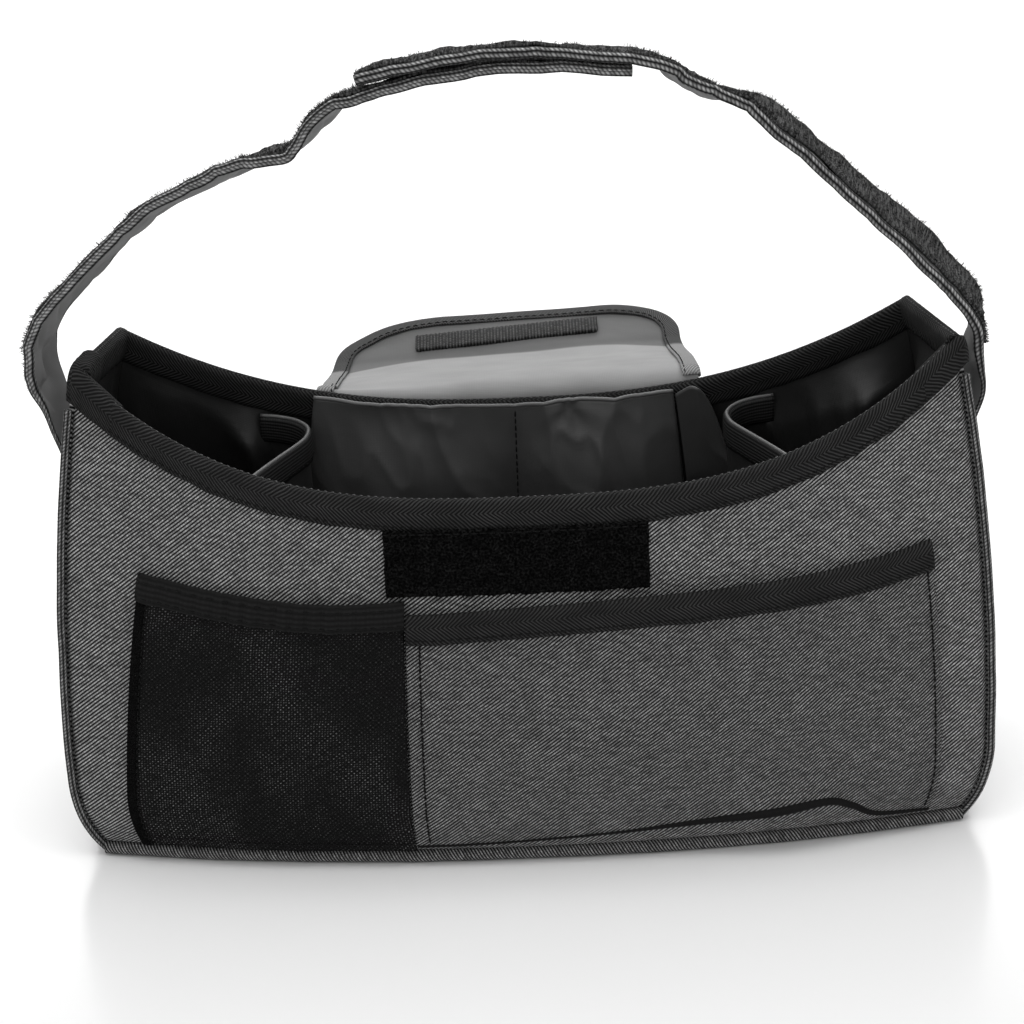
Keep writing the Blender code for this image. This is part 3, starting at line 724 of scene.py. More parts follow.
def lid_tape_paint(name="lid_tape_ribs_sheen", pitch=0.0013, near_run=0.058, whole_run=0.322):
    """Lid's tape: dark ribs, painted light grey as a sheen where the near part catches the light.
    """
    paint = Paint(name, roughness=0.8)
    x, y = paint.place()
    ridge = paint.wave((x + y) / pitch)
    from_end = paint.math("MINIMUM", x, whole_run - x)
    far = paint.stretch(from_end, near_run - 0.006, near_run)
    # Painted sheen in light grey on the near part; dark ribs past it.
    painted_sheen = paint.blend(grey(0.16), grey(0.34), ridge)
    dark = paint.blend(grey(0.006), grey(0.11), ridge)
    paint.colour(paint.blend(painted_sheen, dark, far))
    paint.bump(ridge, 0.0004, 0.6)
    return paint.material


def nylon_paint(name, colour, roughness=0.42, specular=0.5, thread=0.0007, fold=None, shade_share=1.0):
    """Smooth nylon with a fine plain weave; past a fold it may turn darker as a painted shade."""
    paint = Paint(name, roughness=roughness, specular=specular)
    x, y = paint.place()
    weave = paint.wave(x / thread) * paint.wave(y / thread)
    tone = weave * 0.25 + paint.noise(x * 40, y * 90, 4.0) * 0.75
    shade = paint.blend(grey(colour * 0.75), grey(colour * 1.25), tone)
    # Past the fold the grey steps down to a painted shade, a given share of the colour.
    if fold is not None:
        shade_level = colour * shade_share
        darker = paint.blend(grey(shade_level * 0.8), grey(shade_level * 1.2), tone)
        shade = paint.blend(shade, darker, paint.stretch(y, fold, fold + 0.002))
    paint.colour(shade)
    crease = paint.noise(x * 150, y * 150, 4.0, 7.0)
    paint.bump(weave * 0.15 + crease, 0.0006, 0.25)
    return paint.material


def rib_paint(name, pitch, dark, light):
    """Elastic with ribs along its length."""
    paint = Paint(name, roughness=0.7)
    x, y = paint.place()
    height = paint.wave(y / pitch) * (paint.wave(x / (pitch * 0.8)) * 0.35 + 0.65)
    paint.tint(dark, light, height)
    paint.bump(height, 0.0003, 0.8)
    return paint.material


def mesh_paint(name="mesh_net", pitch=0.00112, twill=0.0013):
    """Fine black net; the twill behind glints through its holes in diagonal rows."""
    paint = Paint(name, roughness=1.0, specular=0.02)
    x, y = paint.place()
    wobble = paint.noise(x * 70, y * 70) * 1.5
    a = wobble + x / pitch
    b = wobble + y / (pitch * 0.9)
    hole = paint.wave(a) * paint.wave(b)
    net = 1.0 - hole
    _, across = turned(x, y, 40)
    zone = paint.stretch(paint.noise(x * 26, y * 18), 0.38, 0.64)
    glint = paint.stretch(hole, 0.15, 0.8) * paint.wave(across / twill)
    glint = glint * (paint.random(a, b) * 0.9 + 0.2) * (zone * 0.75 + 0.25)
    paint.tint(0.001, 0.17, net * 0.04 + glint)
    paint.bump(net, 0.0004, 0.7)
    return paint.material


def fuzz_paint(name, dark, light, size, streaks=0.0):
    """Matted loops, brushed into streaks across the tape."""
    paint = Paint(name, roughness=1.0, specular=0.03)
    x, y = paint.place()
    knots = paint.noise(x * size, y * size, 3.0)
    clumps = paint.noise(x * (size / 5), y * (size / 5), 2.0, 3.0)
    brushed = paint.stretch(paint.noise(x * 120, y * 1100, 2.0, 5.0), 0.42, 0.62)
    tone = brushed * streaks + paint.stretch(knots, 0.35, 0.75) * clumps
    paint.tint(dark, light, tone)
    paint.bump(knots, 0.0008, 0.9)
    return paint.material


def hook_paint(name="hook_rows", pitch=0.0016):
    """Rows of small stiff hooks."""
    paint = Paint(name, roughness=0.6, specular=0.2)
    x, y = paint.place()
    a = x / pitch
    b = y / (pitch * 0.9)
    peg = paint.wave(a) * (paint.wave(b) * 0.6 + 0.4)
    paint.tint(0.002, 0.085, peg * (paint.random(a, b) * 0.8 + 0.3))
    paint.bump(peg, 0.0006, 1.0)
    return paint.material


def thread_paint(name, light, twist_pitch=0.0005):
    """Twisted sewing thread."""
    paint = Paint(name, roughness=0.7)
    x, y = paint.place()
    _, across = turned(x, y, 55)
    twist = paint.wave(across / twist_pitch)
    paint.tint(light * 0.4, light * 1.4, twist * paint.noise(x * 900, y * 900))
    paint.bump(twist, 0.0001, 0.5)
    return paint.material


def table_paint(name="table_white"):
    """White table: matt, with its own light for the camera and a faint reflection."""
    paint = Paint(name)
    paint.tree.nodes.remove(paint.shader)
    position = paint.node("ShaderNodeNewGeometry").outputs["Position"]
    reach = paint.tree.nodes.new("ShaderNodeVectorMath")
    reach.operation = "LENGTH"
    paint.feed(reach.inputs[0], position)
    path = paint.node("ShaderNodeLightPath")
    seen = paint.math("MAXIMUM", path.outputs["Is Camera Ray"], path.outputs["Is Glossy Ray"])
    own_light = seen * paint.stretch(reach.outputs["Value"], *GLOW_FROM) * FLOOR_GLOW
    depth = paint.node("ShaderNodeSeparateXYZ", Vector=position).outputs[1]
    gloss = paint.node("ShaderNodeMapRange", Value=depth, From_Min=GLOSS_FADE[0],
                       From_Max=GLOSS_FADE[1], To_Max=FLOOR_GLOSS)
    matt = paint.node("ShaderNodeBsdfDiffuse", Color=grey(FLOOR_WHITE))
    glow = paint.node("ShaderNodeEmission", Strength=own_light)
    mirror = paint.node("ShaderNodeBsdfGlossy", Roughness=FLOOR_ROUGHNESS)
    both = paint.tree.nodes.new("ShaderNodeAddShader")
    mixed = paint.node("ShaderNodeMixShader", Fac=gloss.outputs[0])
    paint.feed(both.inputs[0], matt.outputs[0])
    paint.feed(both.inputs[1], glow.outputs[0])
    paint.feed(mixed.inputs[1], both.outputs[0])
    paint.feed(mixed.inputs[2], mirror.outputs[0])
    out = next(n for n in paint.tree.nodes if n.type == "OUTPUT_MATERIAL")
    paint.feed(out.inputs["Surface"], mixed.outputs[0])
    return paint.material


BODY_TWILL = twill_paint("body_twill", 0.00125, 0.0011, light=0.53)
POCKET_TWILL = twill_paint("pocket_twill", 0.00116, 0.0010, light=0.385)
EDGE_TWILL = twill_paint("edge_twill", 0.00115, 0.0010, degrees=-30, light=0.40)
WELT_BRAID = braid_paint("welt_braid", 0.0015, 0.0016, light=0.34)
STRAP_BRAID = braid_paint("strap_braid", 0.0018, 0.0021, light=0.42)
TAPE_RIBS = tape_paint()
# The lid tape's light grey near part is a painted sheen.
LID_TAPE_SHEEN_RIBS = lid_tape_paint()
# Lit and shaded copies of one lining nylon: the inner lining's grey is painted shade inside the
# bag; the slip pocket's and the flap's lighter greys are painted light and sheen.
SHADED_LINING_NYLON = nylon_paint("lining_nylon_shaded", colour=0.012, roughness=0.40)
LIT_SLIP_NYLON = nylon_paint("slip_nylon_lit", colour=0.058, roughness=0.5)
LIT_FLAP_NYLON = nylon_paint("flap_nylon_lit", colour=0.038, roughness=0.45)
# Light grey nylon for the rolled top edges of the slip pocket and the cup bands: a painted
# highlight along them.
HEM_HIGHLIGHT_NYLON = nylon_paint("hem_highlight_nylon", colour=0.080, roughness=0.4)
CUP_NYLON = nylon_paint("cup_nylon", colour=0.020)
# Lid lining: its light grey is partly its own cloth and partly a painted sheen on the near part;
# past the fold it turns to a painted shade.
LID_SHEEN_NYLON = nylon_paint("lid_nylon_sheen_shade", colour=0.27, roughness=0.6, specular=0.2,
                        fold=LID_FOLD_RUN, shade_share=0.36)
STRAP_NYLON = nylon_paint("strap_nylon", colour=0.23, roughness=0.7, specular=0.2)
CUP_ELASTIC = rib_paint("cup_elastic", 0.0014, dark=0.004, light=0.034)
POCKET_ELASTIC = rib_paint("pocket_elastic", 0.0022, dark=0.003, light=0.010)
NET = mesh_paint()
NET_EDGE = fuzz_paint("net_edge", dark=0.001, light=0.014, size=1800.0)
PATCH_FUZZ = fuzz_paint("patch_fuzz", dark=0.0002, light=0.024, size=1000.0)
STRAP_FUZZ = fuzz_paint("strap_fuzz", dark=0.004, light=0.12, size=1000.0, streaks=0.5)
HOOKS = hook_paint()
BLACK_THREAD = thread_paint("black_thread", 0.006)
GREY_THREAD = thread_paint("grey_thread", 0.16)


# Pieces

def seam_rolled(grid, margin_sides, foot):
    """Depth by which a panel rolls in towards its sewn edges."""
    level = run_lengths(grid, 1)
    side = np.minimum(level, level[:, -1:] - level)
    roll = np.clip(1 - side / SEAM_ROLL, 0, 1) ** 2 * margin_sides
    up = run_lengths(grid, 0)
    return np.maximum(roll, np.clip(1 - up / SEAM_ROLL, 0, 1) ** 2 * foot)


def face_panel(name, side, nodes, seed):
    """Padded front or back wall."""
    columns = np.linspace(-1, 1, 171)
    rows = np.linspace(0, 1, 101)
    inset = 1 - SEAM_MARGIN / HALF_RIM
    u, v = np.meshgrid(columns * inset, SEAM_MARGIN / RIM_MIDDLE_Z + rows * inset)
    v = np.minimum(v, 1)
    grid = face_point(side, u, v)
    if side > 0:
        grid = grid[:, ::-1]
        u = u[:, ::-1]
    uv = flat_uv(grid)
    calm = np.clip((1 - np.abs(u)) * 8, 0, 1) * np.clip(v * 8, 0, 1) * np.clip((1 - v) * 5, 0, 1)
    relief = layered(soft_noise, grid, seed, FACE_WAVES)
    grid = push(grid, relief * calm - seam_rolled(grid, SEAM_DIP, SEAM_DIP))
    thing = cloth(name, grid, TWILL + GAP + PADDING, BODY_TWILL, "twill", *nodes, uv=uv)


def gusset():
    """Side, bottom and side in one padded band."""
    steps = np.linspace(0, 1, 49)
    rows = np.linspace(0, 1, 81)
    inset = SEAM_MARGIN / (2 * DEPTH_CORNER_RIM)
    steps = inset + steps * (1 - 2 * inset)
    s, v = np.meshgrid(steps, rows[::-1])
    left = gusset_point(-1, s, v)
    s, v = np.meshgrid(steps, rows)
    right = gusset_point(1, s, v)
    columns = np.linspace(-1, 1, 151)[1:-1]
    s, u = np.meshgrid(steps, columns)
    front = face_point(-1, u, 0)
    back = face_point(1, u, 0)
    bottom = front + (back - front) * s[..., None]
    near_edge = np.clip(1 - np.minimum(s, 1 - s) / 0.08, 0, 1) ** 2
    near_end = np.clip((np.abs(u) - 0.93) / 0.07, 0, 1) ** 2
    bottom[..., 2] = SEAM_Z * np.maximum(near_edge, near_end)
    grid = np.concatenate((left, bottom, right))
    uv = cloth_uv(grid)[..., ::-1]
    s = np.broadcast_to(steps, grid.shape[:2])
    calm = np.clip(8 * s, 0, 1) * np.clip(8 * (1 - s), 0, 1)
    wave = layered(soft_noise, grid, 5, GUSSET_WAVES)
    on_side = np.concatenate((np.ones(len(left)), np.zeros(len(bottom)), np.ones(len(right))))
    grid = push(grid, wave * calm * on_side[:, None])
    grid[..., 2] = np.maximum(grid[..., 2], 0)
    thing = cloth("gusset", grid, TWILL + GAP + PADDING, BODY_TWILL, "twill",
                  "gusset_band", "left_padding", "right_padding", "base_board", uv=uv,
                  even=False)


def seam_tube(name, path, side, radius, paint, *nodes):
    """Covered cord along a seam, a little uneven."""
    path, _ = even_path(path, 0.0012)
    wobble = np.stack([soft_noise(path, 60, 10 + k) for k in range(3)], axis=-1)
    return tube(name, path + wobble * 0.00025, radius, paint, "twill", *nodes,
                sides=14, normal=(0.3, side, 0.2))


def welts():
    """Braided cord down each corner seam, twill roll along each foot seam."""
    rows = np.linspace(WELT_TOP_ROW, 0, 120)
    columns = np.linspace(-1, 1, 240)
    for name, side in (("front", -1), ("back", 1)):
        seam_tube(name + "_foot_roll", face_point(side, columns, 0), side, FOOT_ROLL_RADIUS,
                  EDGE_TWILL, name + "_welt")
        for where, end in (("_left", -1), ("_right", 1)):
            seam_tube(name + where + "_cord", face_point(side, end, rows), side, WELT_RADIUS,
                      WELT_BRAID)


def ring(row, across, deep):
    """Closed row around the bag from the columns of its faces and the steps of its sides."""
    return np.concatenate((
        face_point(-1, across, row), gusset_point(1, deep, row),
        face_point(1, across[::-1], row), gusset_point(-1, deep[::-1], row)))


def ring_path(row):
    """Closed row around the bag, anticlockwise from the front left corner."""
    across = np.linspace(-1, 1, 400)
    deep = np.linspace(0, 1, 80)[1:-1]
    return ring(row, across, deep)


def rim_binding():
    """Tape folded over the whole rim."""
    edge = ring_path(1.0)
    below = ring_path(0.93)
    run = unit(np.roll(edge, -1, axis=0) - np.roll(edge, 1, axis=0))
    inward = unit(below - edge)
    away = unit(np.cross(run, -inward))
    keep = np.arange(0, len(edge), 2)
    _, grid = folded_tape(
        "rim_binding", edge[keep], away[keep], inward[keep], WALL, TAPE_LEG, TAPE,
        TAPE_RIBS, "tape", "rim_tape", wrap=True, crown=0.0015, ruffle=0.0006, seed=2)
    closed = np.append(keep, keep[0])
    sewn = grid[1] + away[keep] * TAPE
    seam_stitches("rim_stitches", [(np.concatenate((sewn, sewn[:1])), away[closed])],
                  BLACK_THREAD, "tape")
    crest = grid[9] - inward[keep] * TAPE * 1.15
    crest = np.concatenate((crest, crest[:1]))
    seam_stitches("rim_edge_thread", [(crest, (0, 0, 1))], GREY_THREAD, "tape",
                  length=0.0013, gap=0.0015, radius=0.0002)


def rim_end(name, side, around, rise, crown, frayed):
    """Front tape's end, lifting off over the corner and around it on top of the side tape."""
    columns = np.linspace(RIM_END_START, 1.0, 14) * side
    deep = np.linspace(0, around, 8)[1:]
    edge = np.concatenate((face_point(-1, columns, 1.0), gusset_point(side, deep, 1.0)))
    below = np.concatenate((face_point(-1, columns, 0.93), gusset_point(side, deep, 0.93)))
    for _ in range(RIM_END_ROUNDS):
        edge[1:-1] = (edge[:-2] + 2 * edge[1:-1] + edge[2:]) / 4
        below[1:-1] = (below[:-2] + 2 * below[1:-1] + below[2:]) / 4
    edge = smooth_line(edge, 3)
    below = smooth_line(below, 3)
    if side < 0:
        edge, below = edge[::-1], below[::-1]
    ahead = unit(np.gradient(edge, axis=0))
    inward = unit(below - edge)
    away = unit(np.cross(ahead, -inward))
    share = np.linspace(0, 1, len(edge)) if side > 0 else np.linspace(1, 0, len(edge))
    lift = (TAPE + GAP) * smooth_step(3 * share) - TAPE * (1 - smooth_step(6 * share))
    edge = edge + away * lift[:, None] - inward * (lift + rise * share ** 2)[:, None]
    _, grid = folded_tape(
        name, edge, away, inward, WALL + 2 * (TAPE + GAP), TAPE_LEG,
        TAPE, TAPE_RIBS, "tape", crown=crown, ruffle=0.0008, seed=20 + side, bow=0.0006)
    if frayed:
        last = grid[:, -1] if side > 0 else grid[:, 0]
        before = grid[:, -2] if side > 0 else grid[:, 1]
        hairs(name + "_fray", np.stack((last, 2 * last - before), axis=1), 220, 0.0014,
              GREY_THREAD, "tape", 40 + side)


def loop_patch():
    """Loop patch: a matted pile with a ragged edge."""
    x, z = np.meshgrid(np.linspace(PATCH_LEFT_X, PATCH_RIGHT_X, 171),
                       np.linspace(PATCH_BOTTOM_Z, PATCH_TOP_Z + 0.0012, 43))
    column, row = place_at(-1, x, z)
    base = face_point(-1, column, row)
    ragged = 0.0005 * soft_noise(base, 400, 20)
    edge = np.minimum(x - PATCH_LEFT_X, PATCH_RIGHT_X - x)
    edge = np.minimum(edge, z - PATCH_BOTTOM_Z)
    round_off = np.clip(edge / 0.0012, 0, 1)
    pile = layered(soft_noise, base, 21, PATCH_WAVES)
    lift = SEW_GAP + PATCH + pile - (1 - round_off) ** 2 * 0.0008
    grid = push(base, lift)
    outer = edge < 1e-9
    grid[..., 0] += np.where(outer, ragged, 0)
    grid[..., 2] += np.where(outer, ragged[::-1], 0)
    cloth("patch_pile", grid, PATCH, PATCH_FUZZ, "loops", "loop_patch")
    hairs("patch_hairs", grid, 2600, 0.0011, PATCH_FUZZ, "loops", 31)
    top = push(base, SEW_GAP + PATCH + 0.0004)[-3]
    seam_stitches("patch_stitches", [(top, (0, -1, 0.1))], BLACK_THREAD, "loops")


def hairs(name, grid, count, length, paint, slot, seed, thickness=0.00009, edges_only=0.0):
    """Short bent fibres standing on a grid; edges_only keeps them near its long edges."""
    draw = np.random.default_rng(seed)
    away = unit(outward(grid))
    rows, columns = grid.shape[:2]
    i = draw.random(count) * (rows - 1.001)
    j = draw.random(count) * (columns - 1.001)
    if edges_only:
        j = np.where(draw.random(count) < 0.5, draw.random(count) * edges_only,
                     columns - 1.001 - draw.random(count) * edges_only)
    ii, jj = i.astype(int), j.astype(int)
    root = grid[ii, jj] + (grid[ii + 1, jj] - grid[ii, jj]) * (i - ii)[:, None]
    root = root + (grid[ii, jj + 1] - grid[ii, jj]) * (j - jj)[:, None]
    up = away[ii, jj]
    lean = unit(draw.normal(size=(count, 3)))
    if edges_only:
        out = unit(grid[ii, np.where(jj < columns / 2, 0, columns - 1)]
                   - grid[ii, np.full(count, columns // 2)])
        lean = unit(lean + 1.6 * out)
    size = length * (0.5 + draw.random(count))
    points, faces = [], []
    stations = ((0.0, 0.0), (0.45, 0.4), (0.75, 1.0))
    for index in range(count):
        side = unit(np.cross(up[index], lean[index]))
        start = len(points)
        for rise, sway in stations:
            middle = root[index] + size[index] * (up[index] * rise + lean[index] * sway)
            points.append(middle + side * thickness)
            points.append(middle - side * thickness)
            points.append(middle + up[index] * thickness)
        for k in range(len(stations) - 1):
            for a, b in ((0, 1), (1, 2), (2, 0)):
                faces.append((start + 3 * k + a, start + 3 * k + b,
                              start + 3 * k + 3 + b, start + 3 * k + 3 + a))
        faces.append((start + 2, start + 1, start))
        top = start + 3 * (len(stations) - 1)
        faces.append((top, top + 1, top + 2))
    mesh = bpy.data.meshes.new(name)
    mesh.from_pydata([tuple(p) for p in points], [], faces)
    mesh.uv_layers.new(name="UVMap")
    thing = bpy.data.objects.new(name, mesh)
    bpy.context.scene.collection.objects.link(thing)
    return dress(thing, paint, slot)


def curve_at(points, places):
    """Height over a smooth curve through (place, height) points."""
    line = smooth_line(points, 8)
    return np.interp(places, line[:, 0], line[:, 1])


def pocket_grid(left, right, bottom, top, columns, rows):
    """Columns and rows of a front pocket from its sides and its foot and top curves."""
    s, t = np.meshgrid(np.linspace(0, 1, columns), np.linspace(0, 1, rows))
    low = left[0] + (left[1] - left[0]) * t
    high = right[0] + (right[1] - right[0]) * t
    foot = curve_at(bottom, s)
    head = curve_at(top, s)
    return s, t, low + (high - low) * s, foot + (head - foot) * t


def pocket_swell(s, t, height):
    return height * np.sin(math.pi * s) ** 0.7 * np.minimum(1, 2.5 * t)


def top_frame(grid):
    """Top edge of a pocket with its outward and downward directions."""
    away = unit(outward(grid))[-1]
    return grid[-1], away, unit(grid[-4] - grid[-1])


def mesh_pocket():
    s, t, u, v = pocket_grid(
        (MESH_LEFT_BOTTOM, MESH_LEFT_TOP), (MESH_RIGHT, MESH_RIGHT),
        MESH_FOOT, MESH_TOP, 111, 91)
    base = SEW_GAP + ELASTIC + GAP + MESH
    flat = face_point(-1, u, v)
    slack = layered(soft_noise, flat, 40, NET_WAVES)
    gather = 0.0005 * np.sin(2 * math.pi * s * 17 + 3 * soft_noise(flat, 30, 42)) * t ** 5
    hem = 0.0005 * (np.abs(s - 0.035) < 0.03)
    lift = base + pocket_swell(s, t, MESH_SWELL) + (slack + gather) * np.sin(math.pi * s) + hem
    grid = push(face_point(-1, u, v), lift)
    net = cloth("net_pocket", grid, MESH, NET, "mesh", "mesh_pocket", uv=flat_uv(grid))
    edge, away, down = top_frame(grid)
    band, band_grid = folded_tape(
        "net_elastic", edge, away, down, MESH, ELASTIC_LEG, ELASTIC, POCKET_ELASTIC,
        "elastic", "mesh_pocket_elastic", seed=7, crown=0.0004, ruffle=0.0005)
    lines = [(band_grid[1] + away * ELASTIC, away), (band_grid[5] + away * ELASTIC, away)]
    sew = seam_stitches("net_elastic_stitches", lines, BLACK_THREAD, "elastic")
    edging = cloth("net_edge_fold", push(grid[:-4, :5], 0.0006), MESH, NET_EDGE, "mesh")
    side = grid[:-8, 4] + np.array((0, -0.0006, 0))
    foot = grid[3, 2:-2] + np.array((0, -0.0004, 0))
    hemming = seam_stitches("net_stitches", [(side, (0, -1, 0)), (foot, (0, -1, 0))],
                            BLACK_THREAD, "mesh", length=0.002)
    area = (flat_uv(grid)[-1, -1, 0] - flat_uv(grid)[-1, 0, 0])


def twill_pocket():
    """Pocket whose foot lifts into a fold towards its right end."""
    s, t, u, v = pocket_grid(
        (POCKET_LEFT, POCKET_LEFT), (POCKET_RIGHT_BOTTOM, POCKET_RIGHT_TOP),
        POCKET_FOOT, POCKET_TOP, 161, 81)
    base = SEW_GAP + TAPE + GAP + TWILL
    flat = face_point(-1, u, v)
    slack = layered(soft_noise, flat, 50, POCKET_WAVES)
    height, place, reach = POCKET_FOOT_GAP
    open_foot = height * np.exp(-((s - place) / reach) ** 2 - t / 0.09)
    lift = base + pocket_swell(s, t, POCKET_SWELL) + slack * np.sin(math.pi * s) ** 0.5 + open_foot
    grid = push(face_point(-1, u, v), lift)
    pocket = cloth("front_pocket", grid, TWILL, POCKET_TWILL, "twill", "twill_pocket",
                   uv=flat_uv(grid))
    edge, away, down = top_frame(grid)
    band, band_grid = folded_tape(
        "front_pocket_tape", edge, away, down, TWILL, POCKET_TAPE_LEG, TAPE, TAPE_RIBS,
        "tape", "twill_pocket_tape", seed=9, crown=0.0004, ruffle=0.0004)
    lines = [(band_grid[1] + away * TAPE, away)]
    sew = seam_stitches("front_pocket_tape_stitches", lines, BLACK_THREAD, "tape")
    out = np.array((0, -0.0003, 0))
    sides = [(grid[1:-3, 4] + out, (0, -1, 0)), (grid[1:-3, -3] + out, (0, -1, 0))]
    edge_sew = seam_stitches("front_pocket_stitches", sides, BLACK_THREAD, "twill",
                             length=0.0028, gap=0.0004, radius=0.0004)
    # A dark seam thread under the foot, thickened into a painted shadow where the foot lifts off.
    under = grid[0] + np.array((0, 0.0004, -0.0006))
    foot = tube("front_pocket_foot_seam_shadow", under, POCKET_FOOT_SEAM_SHADOW * (1 + 2.2 * np.exp(
        -((s[0] - place) / (2 * reach)) ** 2)), BLACK_THREAD, "twill")
    measured = flat_uv(grid)
    height = float(run_lengths(grid, 0)[-1].mean())


def lining():
    """Loose inner lining: four walls and a floor."""
    rows = np.concatenate((np.linspace(0, 0.1, 8)[:-1], np.linspace(0.1, 1, 64)))
    across = np.linspace(-1, 1, 161)
    deep = np.linspace(0, 1, 41)[1:-1]
    outer = np.array([ring(row, across, deep) for row in rows])
    grid = push(outer, -(WALL + GAP), wrap=True)
    up = rows[:, None]
    slant = grid @ np.array(((1, 0, 0.5), (0, 1, 0.3), (0, 0, 0.5)))
    loose = layered(creases, slant, 60, LINING_FOLDS)
    loose += 0.0012 * (1 + soft_noise(grid, 30, 62))
    corner_across = (1 - np.abs(across)) * HALF_RIM
    corner_deep = np.minimum(deep, 1 - deep) * 2 * DEPTH_CORNER_RIM
    corner_away = np.concatenate((corner_across, corner_deep, corner_across, corner_deep))
    calm = np.clip(up * 6, 0, 1) * np.clip((0.94 - up) * 10, 0, 1)
    open_back = smooth_step((np.abs(across) - FLAP_RIGHT) / 0.06)
    on_wall = np.ones(len(corner_away))
    on_wall[len(across) + len(deep):2 * len(across) + len(deep)] = open_back
    calm = calm * smooth_step(corner_away / 0.022) * on_wall
    grid = push(grid, -loose * calm, wrap=True)
    grid[0, :, 2] = FLOOR_Z + LINING
    count = len(across)
    d = len(deep)
    front = grid[0, :count]
    right = grid[0, count:count + d]
    back = grid[0, count + d:2 * count + d][::-1]
    left = grid[0, 2 * count + d:][::-1]
    share = np.linspace(0, 1, d + 2)[:, None, None]
    floor = front + (back - front) * share
    floor[1:-1, 0] = left
    floor[1:-1, -1] = right
    floor[1:-1, 1:-1, 2] += 0.0008 * soft_noise(floor[1:-1, 1:-1], 30, 62)
    inside = grid[::-1]
    parts = [(inside, cloth_uv(inside, True), True), (floor, cloth_uv(floor), False)]
    thing = thicken(mesh_object("inner_lining", parts), LINING, even=False)
    # The inner lining's dark grey is painted shade inside the bag.
    dress(thing, SHADED_LINING_NYLON, "lining", "lining_shell")


def slip_pocket():
    """Gathered two-part pocket inside the back wall; its slack top hides the rim tape."""
    u = np.concatenate((np.linspace(SLIP_LEFT, SLIP_MIDDLE, 81),
                        np.linspace(SLIP_MIDDLE, SLIP_RIGHT, 61)[1:]))
    v = np.linspace(SLIP_BOTTOM, SLIP_TOP, 81)
    u, v = np.meshgrid(u, v)
    left = u <= SLIP_MIDDLE
    low = np.where(left, SLIP_LEFT, SLIP_MIDDLE)
    high = np.where(left, SLIP_MIDDLE, SLIP_RIGHT)
    share = (u - low) / (high - low)
    belly = np.clip(np.sin(math.pi * share), 0, 1) ** 0.8
    up = (v - SLIP_BOTTOM) / (SLIP_TOP - SLIP_BOTTOM)
    over_tape = OVER_TAPE * smooth_step(2 * up - 0.8)
    start = WALL + LINING + SEW_GAP
    slack = np.minimum(1, 3 * up) * (1 - SLIP_TOP_TIGHT * smooth_step(4 * up - 3))
    depth = start + over_tape + SLIP_SWELL * belly * slack
    flat = face_point(1, u, v)
    slant = flat @ np.array(((1, 0, 0.6), (0, 1, 0), (0, 0, 0.6)))
    folds = layered(creases, slant, 70, SLIP_FOLDS)
    gather = flat - np.array(SLIP_GATHER)
    away = np.linalg.norm(gather, axis=-1)
    spokes = np.cos(5 * np.arctan2(gather[..., 2], gather[..., 0]) + 1.5)
    folds += 0.0007 * spokes * np.exp(-away / 0.030) * np.clip(away / 0.006, 0, 1)
    grid = push(flat[:, ::-1], -(depth + folds * np.maximum(belly, 0.25))[:, ::-1])
    inner = grid[:, ::-1]
    raised = SLIP_TOP_RISE * smooth_step(3 * up - 2) * (0.35 + 0.65 * belly)
    raised += 0.0016 * np.exp(-(away / 0.007) ** 2)
    inner[..., 2] += raised
    # The slip pocket's lighter grey is painted light and sheen.
    pocket = thicken(mesh_object("slip_pocket_cloth", [(inner, cloth_uv(inner), False)]), LINING)
    dress(pocket, LIT_SLIP_NYLON, "lining", "slip_pocket")
    # The hem's light grey is a painted highlight along the pocket's top edge.
    path = inner[-1] + np.array((0, 0.0002, 0))
    hem = tube("slip_pocket_hem_highlight", even_path(path, 0.0015)[0], 0.0009, HEM_HIGHLIGHT_NYLON, "lining",
               sides=10, normal=(0, 0, 1))
    middle = 80
    sew = seam_stitches("slip_pocket_stitches",
                        [(inner[2:-1, middle] + np.array((0, -0.0004, 0)), (0, -1, 0))],
                        BLACK_THREAD, "lining")
    flap = lining_flap()


def lining_flap():
    """Slack lining right of the slip pocket, arched over the rim tape and falling away."""
    u, v = np.meshgrid(np.linspace(SLIP_RIGHT + 0.002, FLAP_RIGHT, 45),
                       np.linspace(FLAP_FOOT, 0.995, 41))
    share = (u - u.min()) / (u.max() - u.min())
    up = (v - FLAP_FOOT) / (0.995 - FLAP_FOOT)
    flat = face_point(1, u, v)
    slant = flat @ np.array(((1, 0, -0.7), (0, 1, 0), (0, 0, 0.7)))
    folds = 0.0022 * creases(slant, 35, 75) * np.clip(up * 3, 0, 1)
    depth = WALL + LINING + SEW_GAP + OVER_TAPE * smooth_step(2 * up) + folds
    inner = flat + np.array((0, -1, 0)) * depth[..., None]
    inner[..., 2] += smooth_step(3 * up - 2) * FLAP_RISE * np.sin(math.pi * share)
    inner[..., 2] -= up * FLAP_FALL * np.clip(1.3 * share - 0.3, 0, 1) ** 2
    shown = inner[:, ::-1]
    # The flap's lighter grey is painted light on its top.
    flap = thicken(mesh_object("right_flap", [(shown, cloth_uv(shown), False)]), LINING)
    return dress(flap, LIT_FLAP_NYLON, "lining")


